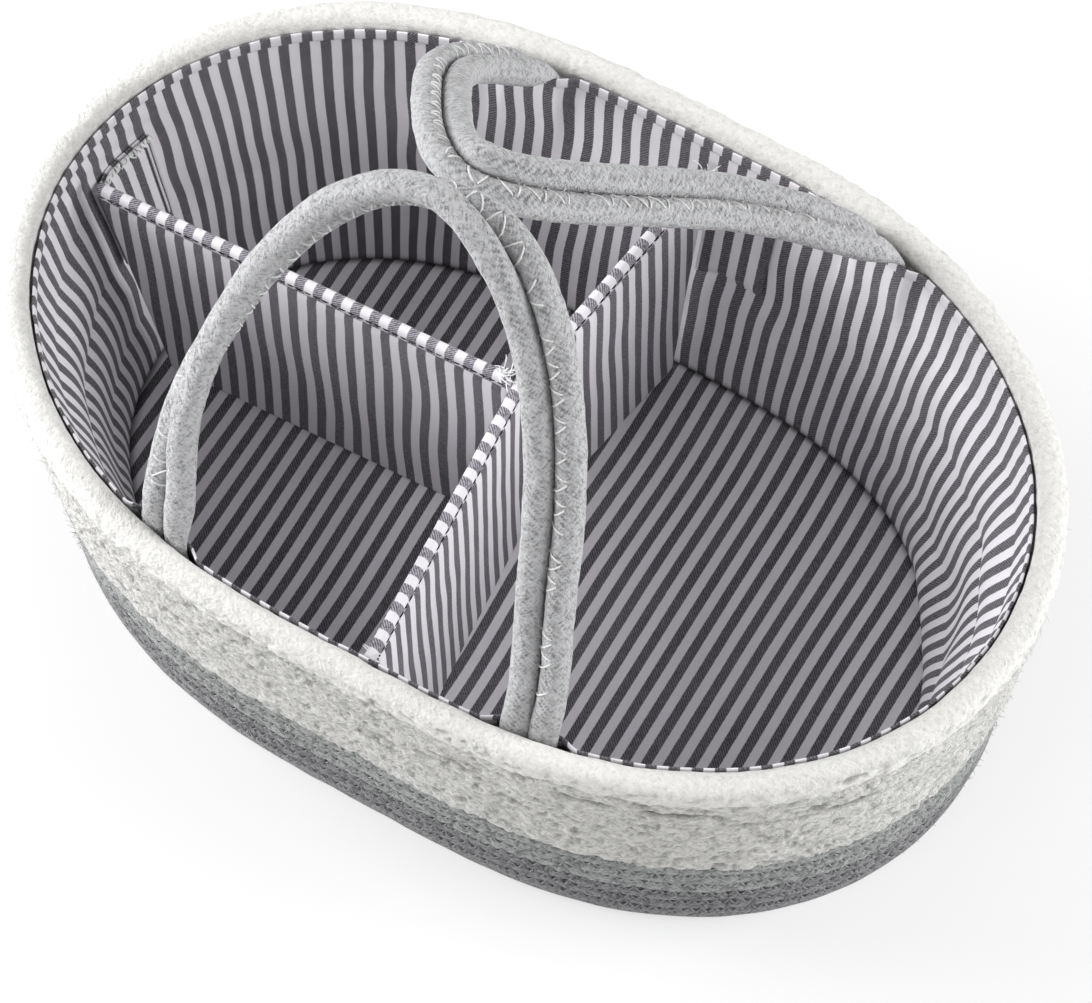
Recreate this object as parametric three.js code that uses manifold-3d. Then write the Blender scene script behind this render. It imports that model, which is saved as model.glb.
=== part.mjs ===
// Oval rope caddy with a striped cotton lining, a T-shaped divider and two rope handles.
// Millimetres, +Z up. X runs along the long side, Y across it, and the origin is on the
// floor under the middle of the basket.

import * as THREE from "three";
import { mergeVertices } from "three/addons/utils/BufferGeometryUtils.js";
import Module from "manifold-3d";

const wasm = await Module();
wasm.setup();

// Basket plan: an oval that is straight along the sides and round at the ends.
const RIM_LENGTH = 380;
const RIM_WIDTH = 250;
const BASE_WIDTH = 228;
const OVAL_EASE = 0.33; // 0 is a true stadium, 1 is an ellipse
const STATIONS = 24; // straight steps round one turn

// Rope and its courses, counted upwards from the outer turn of the base.
const ROPE_DIAMETER = 10;
const COURSE_GAP = 1.1;
const TURN_GAP = 0.9;
const DARK_TURNS = 2;
const LIGHT_TURNS = 3;
const WHITE_TURNS = 7;
const BASE_CUT = 0.1; // share of the rope's diameter that is flattened underneath
const BUTT_GAP = 0.5; // between two rope ends that meet

// Lining.
const CLEARANCE = 0.3; // between pieces that touch
const LINING_THICKNESS = 2;
const FLOOR_THICKNESS = 1.5;
const LINING_TAPER = 11.5; // how far the sleeve stands off the rope at the floor
const LINING_HUG = 15; // height below its top edge over which it lies on the rope
const LINING_BELOW_RIM = 1; // lining's top edge under the rim rope's axis
const BINDING_WIDTH = 4.5;
const BINDING_THICKNESS = 0.6;
const FOLD_DEPTH = 5;
const FOLD_VALLEY = 0.4; // depth between two folds, as a share of theirs
const FOLD_REACH = 3; // stations on each side of the +X end that the folds take up
const POCKET_FADE = 22; // height over which the lining closes in again under a handle end
const POCKET_SIDE = 10; // and the width beside it

// T-shaped divider.
const DIVIDER_THICKNESS = 3.6;
const DIVIDER_BELOW_RIM = 9;
const BOARD_THICKNESS = 1.4;
const COVER_SKIN = 3; // cover beyond the board's top and ends
const DIVIDER_END_GAP = 1.5;
const CROSS_FRONT_X = 3.5;
const CROSS_BEND_X = -5; // the short panel draws the cross panel out of line
const CROSS_REAR_X = 9;
const SHORT_LEFT_Y = -2.5;
const SHORT_RIGHT_Y = 3.5;

// Hook-and-loop tabs at the divider's three ends.
const TAB_LENGTH = 25;
const TAB_HEIGHT = 43;
const TAB_THICKNESS = 1.2;
const TAB_BELOW_BINDING = 6;
const STRIP_THICKNESS = 0.8;
const STRIP_MARGIN = 2.5;

// Handles: each is a pair of ropes sewn side by side.
const HANDLE_ROPE_DIAMETER = 10;
const HANDLE_SPAN = 140;
const HANDLE_PAIR_GAP = 0.3;
const HANDLE_STEPS = 36;
const HANDLE_SIDES = 8;
const FOOT_DEPTH = 36; // sewn-in length below the rim rope's axis
const FOOT_THICKNESS = 5;
const FOOT_SETBACK = 2; // the flattened rope's outer face, inwards of the loop's axis
const FOOT_SIDES = 12;
const FRONT_RISE = 164;
const FRONT_LEAN = 30; // degrees inwards from upright
const FRONT_SWAY = -12; // how far the loop has flopped along X
const REAR_RISE = 153;
const REAR_LEAN = 44.5;
const REAR_SWAY = -21;
const REAR_PINCH = 0.6; // how far the rear loop has closed up
const SWAY_END = 0.3; // share of the rise by which a loop has swayed

const ropeRadius = ROPE_DIAMETER / 2;
const ropeFlat = ropeRadius * Math.cos(Math.PI / 6);
const halfStraight = (RIM_LENGTH - RIM_WIDTH) / 2;
const rimRadius = RIM_WIDTH / 2 - ropeRadius;
const baseRadius = BASE_WIDTH / 2 - ropeRadius;
const coursePitch = 2 * ropeFlat + COURSE_GAP;
const baseAxisZ = ropeRadius - ROPE_DIAMETER * BASE_CUT;
const rimLevel = DARK_TURNS + LIGHT_TURNS + WHITE_TURNS + 1;
const rimZ = levelZ(rimLevel);
const floorBottom = baseAxisZ + ropeFlat + CLEARANCE;
const floorTop = floorBottom + FLOOR_THICKNESS;
const liningTop = rimZ - LINING_BELOW_RIM;
const hugBottom = liningTop - LINING_HUG;
const dividerBottom = floorTop + CLEARANCE;
const dividerTop = rimZ - DIVIDER_BELOW_RIM;
const handleRadius = HANDLE_ROPE_DIAMETER / 2;
const handleAxisZ = rimZ + ropeFlat + CLEARANCE + handleRadius;
const footHalfWidth = HANDLE_ROPE_DIAMETER + HANDLE_PAIR_GAP / 2;
const footBottom = rimZ - FOOT_DEPTH;

const WHITE = 0xece9e1;
const LIGHT_GREY = 0x9ba09f;
const DARK_GREY = 0x7c7b7d;
const HANDLE_GREY = 0xa9aaac;
const STRIPE_GREY = 0x8d8c91;
const BOARD_CREAM = 0xd8d6cc;
const STRIP_WHITE = 0xdcdcde;

const caddy = new THREE.Group();

function addPiece(name, geometry, color, roughness = 0.95) {
  const material = new THREE.MeshStandardMaterial({ color, roughness, metalness: 0 });
  const mesh = new THREE.Mesh(geometry, material);
  mesh.name = name;
  caddy.add(mesh);
}

// Plan and wall

function levelZ(level) {
  return baseAxisZ + level * coursePitch;
}

function wallRadius(z) {
  const rise = (z - baseAxisZ) / (rimZ - baseAxisZ);
  return baseRadius + (rimRadius - baseRadius) * rise;
}

function stationAngle(station) {
  return (station / STATIONS) * 2 * Math.PI;
}

// A point of the oval family: radius is half its width, station counts steps from +X.
function planVertex(station, radius, ease = OVAL_EASE, straight = halfStraight) {
  const cos = Math.cos(stationAngle(station));
  const sin = Math.sin(stationAngle(station));
  const atMiddle = Math.abs(cos) < 1e-9;
  const spread = atMiddle ? 0 : Math.sign(cos) * Math.abs(cos) ** ease;
  return new THREE.Vector2(radius * cos + straight * spread, radius * sin);
}

// The same between stations, along the straight step that joins them.
function planPoint(station, radius, ease, straight) {
  const before = Math.floor(station);
  const from = planVertex(before, radius, ease, straight);
  return from.lerp(planVertex(before + 1, radius, ease, straight), station - before);
}

function wallPoint(station, radius, z) {
  const point = planPoint(station, radius);
  return new THREE.Vector3(point.x, point.y, z);
}

// Radius of the room inside the rope wall.
function ropeInner(z) {
  return wallRadius(z) - ropeRadius - CLEARANCE;
}

// Radius of the lining's outer face, before pockets and folds.
function liningRadius(z) {
  const rise = THREE.MathUtils.clamp((z - floorTop) / (hugBottom - floorTop), 0, 1);
  return ropeInner(z) - LINING_TAPER * (1 - rise);
}

const rearStation = STATIONS / 4;
const leftStation = STATIONS / 2;
const frontStation = (STATIONS * 3) / 4;

// Station of a given X on the step that starts at the middle of a long side and runs to +X.
function sideStation(middle, x, radius) {
  const towards = middle === rearStation ? -1 : 1;
  return middle + (towards * x) / planVertex(middle + towards, radius).x;
}

// Solids

function solidFrom(positions, indices) {
  const geometry = new THREE.BufferGeometry();
  geometry.setAttribute("position", new THREE.Float32BufferAttribute(positions, 3));
  geometry.setIndex(indices);
  if (signedVolume(positions, indices) < 0) {
    geometry.setIndex(indices.slice().reverse());
  }
  return geometry;
}

function signedVolume(positions, indices) {
  const [a, b, c] = [new THREE.Vector3(), new THREE.Vector3(), new THREE.Vector3()];
  let volume = 0;
  for (let i = 0; i < indices.length; i += 3) {
    a.fromArray(positions, indices[i] * 3);
    b.fromArray(positions, indices[i + 1] * 3);
    c.fromArray(positions, indices[i + 2] * 3);
    volume += a.dot(b.cross(c)) / 6;
  }
  return volume;
}

// Joins rings of equal size into a skin. With an outline the two ends are capped,
// without one the last ring joins the first.
function loft(rings, outline) {
  const size = rings[0].length;
  const positions = rings.flat().flatMap((point) => point.toArray());
  const indices = [];
  const spans = outline ? rings.length - 1 : rings.length;
  for (let i = 0; i < spans; i += 1) {
    const here = i * size;
    const next = ((i + 1) % rings.length) * size;
    for (let j = 0; j < size; j += 1) {
      const k = (j + 1) % size;
      indices.push(here + j, next + j, next + k, here + j, next + k, here + k);
    }
  }
  if (outline) {
    const last = (rings.length - 1) * size;
    const forward = THREE.ShapeUtils.area(outline) > 0;
    for (const [a, b, c] of THREE.ShapeUtils.triangulateShape(outline, [])) {
      const [first, third] = forward ? [a, c] : [c, a];
      indices.push(first, b, third, last + third, last + b, last + first);
    }
  }
  return solidFrom(positions, indices);
}

function polygon(sides, radius, turn = 0) {
  const corner = (k) => (k / sides) * 2 * Math.PI + turn;
  const point = (k) => new THREE.Vector2(Math.cos(corner(k)), Math.sin(corner(k)));
  return Array.from({ length: sides }, (_, k) => point(k).multiplyScalar(radius));
}

function toManifold(geometry) {
  const bare = geometry.clone();
  bare.deleteAttribute("normal");
  bare.deleteAttribute("uv");
  const merged = mergeVertices(bare, 1e-4);
  const vertProperties = new Float32Array(merged.attributes.position.array);
  const triVerts = new Uint32Array(merged.index.array);
  return new wasm.Manifold(new wasm.Mesh({ numProp: 3, vertProperties, triVerts }));
}

function fromManifold(solid) {
  const mesh = solid.getMesh();
  return solidFrom(Array.from(mesh.vertProperties), Array.from(mesh.triVerts));
}

function cut(body, tool) {
  return fromManifold(toManifold(body).subtract(toManifold(tool)));
}

function join(one, other) {
  return fromManifold(toManifold(one).add(toManifold(other)));
}

// Rope courses

const ropeSection = polygon(6, ropeRadius);

// The base rope is flattened underneath, where the basket stands on it.
const cutHeight = -ropeRadius * (1 - 2 * BASE_CUT);
const cutHalfWidth = ropeRadius + cutHeight / Math.tan(Math.PI / 3);
const baseSection = ropeSection.map((point) =>
  point.y < cutHeight ? new THREE.Vector2(Math.sign(point.x) * cutHalfWidth, cutHeight) : point,
);

// One stop of a rope: where its section stands, how large it is and how far it is shifted.
function ropeRing(section, stop) {
  const { station, radius, z, ease, straight, size = 1, shiftX = 0, shiftY = 0 } = stop;
  return section.map((offset) => {
    const point = planPoint(station, radius + offset.x * size, ease, straight);
    return new THREE.Vector3(point.x + shiftX, point.y + shiftY, z + offset.y * size);
  });
}

// A turn is level and steps up over the straight just before the middle of the rear side.
function courseStops(firstLevel, turns) {
  const stops = [];
  for (let step = 0; step <= turns * STATIONS; step += 1) {
    const level = firstLevel + Math.floor(step / STATIONS);
    const z = levelZ(level);
    stops.push({ station: rearStation + step, radius: wallRadius(z), z });
  }
  stops[0].shiftX = -BUTT_GAP / 2;
  stops.at(-1).shiftX = BUTT_GAP / 2;
  return stops;
}

// A cut-down rope end fills the wedge beside a step: share runs along the step.
const SKIVE_SHARE = 0.78;

function skivedStart(level) {
  const z = levelZ(level) - (coursePitch * SKIVE_SHARE) / 2;
  const size = 1 - (SKIVE_SHARE * coursePitch) / (2 * ropeFlat);
  return { station: rearStation - SKIVE_SHARE, radius: wallRadius(z), z, size };
}

function skivedEnd(level) {
  const z = levelZ(level) + (coursePitch * SKIVE_SHARE) / 2;
  const size = 1 - (SKIVE_SHARE * coursePitch) / (2 * ropeFlat);
  return { station: rearStation - 1 + SKIVE_SHARE, radius: wallRadius(z), z, size };
}

// The base is an oval spiral round a straight core. Its turns are centred on the basket at the
// -X end and half a pitch off at the +X end, so each comes round one pitch further out.
const baseTurns = Math.floor(baseRadius / (ROPE_DIAMETER + TURN_GAP));
const turnPitch = baseRadius / baseTurns;
const easeAt = (radius) => OVAL_EASE * (radius / baseRadius) ** 2;

function rightHalf(turn, step) {
  const radius = turnPitch * (turn + 0.5);
  const straight = halfStraight + turnPitch / 2;
  const station = frontStation + step;
  return { station, radius, straight, z: baseAxisZ, ease: easeAt(radius), shiftY: turnPitch / 2 };
}

function leftHalf(turn, step) {
  const radius = turnPitch * (turn + 1);
  return { station: rearStation + step, radius, z: baseAxisZ, ease: easeAt(radius) };
}

// The rope's last end is cut down along the outline until the spiral leaves it no room.
function baseTail(step) {
  const angle = stationAngle(frontStation + step);
  const room = (turnPitch / 2) * (1 - Math.cos(angle) - Math.sin(angle));
  const size = 1 - (turnPitch - room) / ROPE_DIAMETER;
  const radius = baseRadius + ropeRadius * (1 - size);
  return { station: frontStation + step, radius, z: baseAxisZ * size, size };
}

function baseStops() {
  const half = STATIONS / 2;
  const stops = [{ ...rightHalf(0, 0), shiftX: -halfStraight }];
  for (let turn = 0; turn < baseTurns; turn += 1) {
    for (let step = 0; step < half; step += 1) {
      stops.push(rightHalf(turn, step));
    }
    for (let step = 0; step < half; step += 1) {
      stops.push(leftHalf(turn, step));
    }
  }
  const tailSteps = STATIONS / 6;
  for (let step = 0; step <= tailSteps; step += 1) {
    stops.push(baseTail(step));
  }
  return stops;
}

// Least distance between neighbouring turns, on points along the rope's edges.
const GAP_SAMPLES = 4;

function leastGap(rings) {
  const samples = [];
  for (let i = 0; i + 1 < rings.length; i += 1) {
    for (let part = 0; part < GAP_SAMPLES; part += 1) {
      const points = rings[i].map((point, k) => point.clone().lerp(rings[i + 1][k], part / GAP_SAMPLES));
      samples.push({ step: i, points });
    }
  }
  let least = Infinity;
  for (const one of samples) {
    for (const other of samples) {
      const turns = (other.step - one.step) / STATIONS;
      if (turns < 0.5 || turns > 1.5) {
        continue;
      }
      for (const a of one.points) {
        for (const b of other.points) {
          least = Math.min(least, a.distanceToSquared(b));
        }
      }
    }
  }
  return Math.sqrt(least);
}

function addRope(name, stops, section, color) {
  const rings = stops.map((stop) => ropeRing(section, stop));
  addPiece(name, loft(rings, section), color);
  if (rings.length > STATIONS * 1.5) {
    console.log(`${name}: least gap between turns ${leastGap(rings).toFixed(2)} mm`);
  }
}

addRope("base_coil", baseStops(), baseSection, DARK_GREY);

const darkStops = [skivedStart(1), ...courseStops(1, DARK_TURNS)];
darkStops[1].shiftX = 0;
addRope("lower_rope_band", darkStops, ropeSection, DARK_GREY);

const lightLevel = 1 + DARK_TURNS;
addRope("middle_rope_band", courseStops(lightLevel, LIGHT_TURNS), ropeSection, LIGHT_GREY);

const whiteLevel = lightLevel + LIGHT_TURNS;
const whiteStops = courseStops(whiteLevel, WHITE_TURNS).slice(0, -1);
whiteStops.push(skivedEnd(rimLevel - 1));
addRope("upper_rope_band", whiteStops, ropeSection, WHITE);

const rimStops = courseStops(rimLevel, 1);
rimStops.at(-1).z = rimZ;
rimStops.at(-1).radius = rimRadius;
addRope("rim_rope", rimStops, ropeSection, WHITE);

// Lining

// The handle ends stand upright behind the flaring wall, clear of it at their lower outer corners.
const footX = HANDLE_SPAN / 2;
const footOuterY = sideY(footX + footHalfWidth, ropeInner(footBottom));
const handleAxisY = footOuterY + FOOT_SETBACK;
const footInnerY = footOuterY - FOOT_THICKNESS;
const pocketHalf = footHalfWidth + CLEARANCE;
const pocketRadius = ((footInnerY - CLEARANCE) * liningRadius(footBottom)) / pocketEdgeY();

// Y of a long side at the given X, which lies on the first or second step from its middle.
function sideY(x, radius) {
  const near = planVertex(rearStation - 1, radius);
  const far = planVertex(rearStation - 2, radius);
  const share = Math.max(0, (x - near.x) / (far.x - near.x));
  return near.y + (far.y - near.y) * share - CLEARANCE;
}

// Y of the lining beside a handle end's edge that is nearer the middle, before it is set in.
function pocketEdgeY() {
  const radius = liningRadius(footBottom);
  const near = planVertex(rearStation - 1, radius);
  return radius + ((near.y - radius) * (footX - pocketHalf)) / near.x;
}

// How far the lining stands in over a sewn-in handle end at this height.
function pocketDepth(z) {
  const below = footBottom - CLEARANCE - z;
  const fade = THREE.MathUtils.clamp(1 - below / (POCKET_FADE - CLEARANCE), 0, 1);
  return Math.max(0, liningRadius(z) - pocketRadius) * fade;
}

// The loose cloth at the +X end bellies in between its seams.
function foldDepth(station, z) {
  const fromEnd = Math.min(station, STATIONS - station);
  if (fromEnd >= FOLD_REACH) {
    return 0;
  }
  const share = (z - floorTop) / (liningTop - floorTop);
  const wave = station % 2 === 0 ? 1 : FOLD_VALLEY;
  return FOLD_DEPTH * wave * Math.sin(Math.PI * share) * (1 - fromEnd / FOLD_REACH);
}

// Stations round the lining: every corner of the oval, and four more at each handle end.
function liningStations() {
  const stations = [];
  for (let corner = 0; corner < STATIONS; corner += 1) {
    stations.push({ station: corner, pocket: 0 });
  }
  const near = planVertex(rearStation - 1, pocketRadius).x;
  const far = planVertex(rearStation - 2, pocketRadius).x;
  const stepsFromMiddle = (x) => (x < near ? x / near : 1 + (x - near) / (far - near));
  const edge = footX - pocketHalf;
  const otherEdge = footX + pocketHalf;
  for (const middle of [rearStation, frontStation]) {
    for (const turn of [-1, 1]) {
      const at = (x) => middle + turn * stepsFromMiddle(x);
      stations[middle + turn].pocket = 1;
      stations.push({ station: at(edge - POCKET_SIDE), pocket: 0 });
      stations.push({ station: at(edge), pocket: 1 });
      stations.push({ station: at(otherEdge), pocket: 1 });
      stations.push({ station: at(otherEdge + POCKET_SIDE), pocket: 0 });
    }
  }
  return stations.sort((a, b) => a.station - b.station);
}

const pocketBottom = footBottom - POCKET_FADE;
const liningLevels = [
  floorTop + CLEARANCE,
  (floorTop + pocketBottom) / 2,
  pocketBottom,
  footBottom - CLEARANCE,
  hugBottom,
  liningTop - BINDING_WIDTH,
  liningTop,
];

function liningFace(entry, z, inwards) {
  const set = entry.pocket * pocketDepth(z) + foldDepth(entry.station, z) + inwards;
  return wallPoint(entry.station, liningRadius(z) - set, z);
}

function liningRing(entry, levels, from, to) {
  const outer = levels.map((z) => liningFace(entry, z, from));
  const inner = levels.map((z) => liningFace(entry, z, to)).reverse();
  return [...outer, ...inner];
}

const stations = liningStations();
const liningRings = stations.map((entry) => liningRing(entry, liningLevels, 0, LINING_THICKNESS));
addPiece("lining_wall", loft(liningRings), STRIPE_GREY);

const bindingLevels = [liningTop - BINDING_WIDTH, liningTop];
const bindingFrom = LINING_THICKNESS + 2 * CLEARANCE;
const bindingTo = bindingFrom + BINDING_THICKNESS;
const bindingRings = stations.map((entry) => liningRing(entry, bindingLevels, bindingFrom, bindingTo));
addPiece("lining_binding", loft(bindingRings), STRIPE_GREY);

const floorRadius = liningRadius(floorTop) - CLEARANCE;
const floorRing = (z) => Array.from({ length: STATIONS }, (_, k) => wallPoint(k, floorRadius, z));
const floorOutline = floorRing(0).map((point) => new THREE.Vector2(point.x, point.y));
addPiece("lining_floor", loft([floorRing(floorBottom), floorRing(floorTop)], floorOutline), STRIPE_GREY);

// Divider

const channelInner = DIVIDER_THICKNESS / 2 + CLEARANCE;
const channelOuter = channelInner + BINDING_THICKNESS;

function liningInner(z) {
  return liningRadius(z) - LINING_THICKNESS;
}

// Where the cross panel's rear or front end stops at height z.
function crossEndY(side, z, inset) {
  const middle = side > 0 ? rearStation : frontStation;
  const endX = side > 0 ? CROSS_REAR_X : CROSS_FRONT_X;
  const radius = liningInner(z);
  const station = sideStation(middle, endX + DIVIDER_THICKNESS, radius);
  return planPoint(station, radius).y - side * (DIVIDER_END_GAP + inset);
}

function shortEndX(z, inset) {
  const radius = liningInner(z);
  return planPoint(leftStation + 1, radius).x + DIVIDER_END_GAP + inset;
}

function crossOutline(z, halfThickness, inset) {
  const front = crossEndY(-1, z, inset);
  const rear = crossEndY(1, z, inset);
  const point = (x, y) => new THREE.Vector3(x, y, z);
  return [
    point(CROSS_FRONT_X - halfThickness, front),
    point(CROSS_FRONT_X + halfThickness, front),
    point(CROSS_BEND_X + halfThickness, SHORT_RIGHT_Y),
    point(CROSS_REAR_X + halfThickness, rear),
    point(CROSS_REAR_X - halfThickness, rear),
    point(CROSS_BEND_X - halfThickness, SHORT_RIGHT_Y),
  ];
}

const shortRightX = CROSS_BEND_X - channelOuter - CLEARANCE;

function shortOutline(z, halfThickness, inset, rightInset) {
  const left = shortEndX(z, inset);
  const right = shortRightX - rightInset;
  const point = (x, y) => new THREE.Vector3(x, y, z);
  return [
    point(left, SHORT_LEFT_Y - halfThickness),
    point(right, SHORT_RIGHT_Y - halfThickness),
    point(right, SHORT_RIGHT_Y + halfThickness),
    point(left, SHORT_LEFT_Y + halfThickness),
  ];
}

function panel(outlineAt, bottom, top) {
  const ring = outlineAt(bottom);
  const flat = ring.map((point) => new THREE.Vector2(point.x, point.y));
  return loft([ring, outlineAt(top)], flat);
}

// A sewn cover with a slot, open below, and the stiff board that fills it.
function addPanel(name, outlineAt) {
  const slotHalf = BOARD_THICKNESS / 2 + CLEARANCE;
  const boardTop = dividerTop - COVER_SKIN - CLEARANCE;
  const whole = panel((z) => outlineAt(z, DIVIDER_THICKNESS / 2, 0), dividerBottom, dividerTop);
  const slot = panel(
    (z) => outlineAt(z, slotHalf, COVER_SKIN - CLEARANCE),
    dividerBottom - COVER_SKIN,
    dividerTop - COVER_SKIN,
  );
  const board = panel((z) => outlineAt(z, BOARD_THICKNESS / 2, COVER_SKIN), dividerBottom, boardTop);
  addPiece(`${name}_cover`, cut(whole, slot), STRIPE_GREY);
  addPiece(`${name}_board`, board, BOARD_CREAM, 0.7);
}

addPanel("cross_divider", (z, half, inset) => crossOutline(z, half, inset));
addPanel("short_divider", (z, half, inset) => shortOutline(z, half, inset, inset));

// A folded strip over a panel's top edge: a channel that runs along the given plan points.
const channelRoof = dividerTop + CLEARANCE;
const channelSection = [
  new THREE.Vector2(-channelOuter, dividerTop - BINDING_WIDTH),
  new THREE.Vector2(-channelInner, dividerTop - BINDING_WIDTH),
  new THREE.Vector2(-channelInner, channelRoof),
  new THREE.Vector2(channelInner, channelRoof),
  new THREE.Vector2(channelInner, dividerTop - BINDING_WIDTH),
  new THREE.Vector2(channelOuter, dividerTop - BINDING_WIDTH),
  new THREE.Vector2(channelOuter, channelRoof + BINDING_THICKNESS),
  new THREE.Vector2(-channelOuter, channelRoof + BINDING_THICKNESS),
];

function addChannel(name, stops) {
  const place = (stop, { x: side, y: z }) =>
    new THREE.Vector3(stop.x + stop.across.x * side, stop.y + stop.across.y * side, z);
  const rings = stops.map((stop) => channelSection.map((corner) => place(stop, corner)));
  addPiece(name, loft(rings, channelSection), STRIPE_GREY);
}

const channelBottom = dividerTop - BINDING_WIDTH;
const acrossX = new THREE.Vector2(1, 0);
const acrossY = new THREE.Vector2(0, 1);
addChannel("cross_divider_binding", [
  { x: CROSS_FRONT_X, y: crossEndY(-1, channelBottom, 0), across: acrossX },
  { x: CROSS_BEND_X, y: SHORT_RIGHT_Y, across: acrossX },
  { x: CROSS_REAR_X, y: crossEndY(1, channelBottom, 0), across: acrossX },
]);
addChannel("short_divider_binding", [
  { x: shortEndX(channelBottom, 0), y: SHORT_LEFT_Y, across: acrossY },
  { x: shortRightX, y: SHORT_RIGHT_Y, across: acrossY },
]);

// Tabs

const tabTop = channelBottom - TAB_BELOW_BINDING;
const tabBottom = tabTop - TAB_HEIGHT;
const loopInset = CLEARANCE;
const hookInset = loopInset + STRIP_THICKNESS + CLEARANCE;
const tabInset = hookInset + STRIP_THICKNESS + CLEARANCE;

// A thin patch on the lining's inner face, between two heights and through the given stations.
function wallPatch(patchStations, bottom, top, inset, thickness) {
  const ring = (station) => [
    wallPoint(station, liningInner(bottom) - inset, bottom),
    wallPoint(station, liningInner(top) - inset, top),
    wallPoint(station, liningInner(top) - inset - thickness, top),
    wallPoint(station, liningInner(bottom) - inset - thickness, bottom),
  ];
  const outline = polygon(4, 1);
  return loft(patchStations.map(ring), outline);
}

// Stations of a patch that starts beside a panel's end and runs along the wall.
function tabStations(end, from, to) {
  const radius = liningInner(tabBottom) - tabInset - TAB_THICKNESS;
  if (end === "left") {
    const chord = planVertex(leftStation - 1, radius).y;
    const at = (y) => leftStation - y / chord;
    return from < 0 ? [at(from), leftStation, at(to)] : [at(from), at(to)];
  }
  const middle = end === "rear" ? rearStation : frontStation;
  return [sideStation(middle, from, radius), sideStation(middle, to, radius)];
}

const tabStarts = {
  left: SHORT_LEFT_Y + DIVIDER_THICKNESS / 2 + 2 * CLEARANCE,
  rear: CROSS_REAR_X + DIVIDER_THICKNESS / 2 + CLEARANCE,
  front: CROSS_FRONT_X + DIVIDER_THICKNESS / 2 + CLEARANCE,
};

for (const [end, start] of Object.entries(tabStarts)) {
  const whole = tabStations(end, start, start + TAB_LENGTH);
  const stripFrom = Math.max(start + STRIP_MARGIN, end === "left" ? 0 : start);
  const strip = tabStations(end, stripFrom, start + TAB_LENGTH - STRIP_MARGIN);
  const stripBottom = tabBottom + STRIP_MARGIN;
  const stripTop = tabTop - STRIP_MARGIN;
  const stripAt = (inset) => wallPatch(strip, stripBottom, stripTop, inset, STRIP_THICKNESS);
  addPiece(`${end}_tab`, wallPatch(whole, tabBottom, tabTop, tabInset, TAB_THICKNESS), STRIPE_GREY);
  addPiece(`${end}_hook_strip`, stripAt(hookInset), STRIP_WHITE);
  addPiece(`${end}_loop_strip`, stripAt(loopInset), STRIP_WHITE);
}

// Handles

// The flattened ropes sewn behind the lining, rounded over where the loop begins.
function footGeometry() {
  const knuckle = polygon(FOOT_SIDES, handleRadius - CLEARANCE);
  const at = (x) => ({ x: y, y: z }) => new THREE.Vector3(x, y, z);
  const round = loft([knuckle.map(at(-footHalfWidth)), knuckle.map(at(footHalfWidth))], knuckle);
  const height = handleAxisZ - footBottom;
  const post = new THREE.BoxGeometry(2 * footHalfWidth, FOOT_THICKNESS, height);
  post.translate(0, -FOOT_SETBACK - FOOT_THICKNESS / 2, -height / 2);
  return join(round, post);
}

const footTemplate = footGeometry();

function addFoot(name, x, side) {
  const foot = footTemplate.clone();
  if (side < 0) {
    foot.rotateZ(Math.PI);
  }
  foot.translate(x, side * handleAxisY, handleAxisZ);
  addPiece(name, foot, HANDLE_GREY);
}

// One rope of a pair. At the feet the inner rope is nearer the middle of the handle, and the
// pair turns over so that it lies on the outer face at the top.
function handleRope(inner, rise, sway, pinch) {
  const start = Math.asin((handleRadius + CLEARANCE) / rise);
  const centre = (angle) => {
    const up = Math.sin(angle);
    const half = (HANDLE_SPAN / 2) * (1 - pinch * up);
    const drift = sway * THREE.MathUtils.smoothstep(up, Math.sin(start), SWAY_END);
    return new THREE.Vector3(half * Math.cos(angle) + drift, 0, rise * up);
  };
  const set = (inner ? 1 : -1) * (handleRadius + HANDLE_PAIR_GAP / 2);
  const outwards = new THREE.Vector3(0, -1, 0);
  const section = polygon(HANDLE_SIDES, handleRadius, Math.PI / HANDLE_SIDES);
  const nudge = 0.01;
  const rings = [];
  for (let step = 0; step <= HANDLE_STEPS; step += 1) {
    const angle = start + ((Math.PI - 2 * start) * step) / HANDLE_STEPS;
    const atEnd = step === 0 || step === HANDLE_STEPS;
    const ahead = centre(Math.min(angle + nudge, Math.PI - start));
    const behind = centre(Math.max(angle - nudge, start));
    const along = atEnd ? new THREE.Vector3(0, 0, step === 0 ? 1 : -1) : ahead.sub(behind).normalize();
    const inwards = new THREE.Vector3(-along.z, 0, along.x);
    const turn = (Math.PI / 2) * THREE.MathUtils.smoothstep(Math.sin(angle), 0, 1);
    const aside = inwards.clone().multiplyScalar(Math.cos(turn)).addScaledVector(outwards, Math.sin(turn));
    const above = new THREE.Vector3().crossVectors(along, aside);
    const middle = centre(angle).addScaledVector(aside, set);
    const place = ({ x, y }) => middle.clone().addScaledVector(aside, x).addScaledVector(above, y);
    rings.push(section.map(place));
  }
  return loft(rings, section);
}

function addHandle(name, side, rise, lean, sway, pinch) {
  const axis = new THREE.Vector3(0, side * handleAxisY, handleAxisZ);
  for (const inner of [true, false]) {
    const rope = handleRope(inner, rise, sway * -side, pinch);
    rope.rotateX(-THREE.MathUtils.degToRad(lean));
    if (side > 0) {
      rope.rotateZ(Math.PI);
    }
    rope.translate(axis.x, axis.y, axis.z);
    addPiece(`${name}_${inner ? "inner" : "outer"}_rope`, rope, HANDLE_GREY);
  }
  addFoot(`${name}_left_foot`, -footX, side);
  addFoot(`${name}_right_foot`, footX, side);
}

addHandle("front_handle", -1, FRONT_RISE, FRONT_LEAN, FRONT_SWAY, 0);
addHandle("rear_handle", 1, REAR_RISE, REAR_LEAN, REAR_SWAY, REAR_PINCH);

export default caddy;
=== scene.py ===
"""Rope, cloth, threads and stage of an oval diaper caddy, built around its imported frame."""

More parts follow.
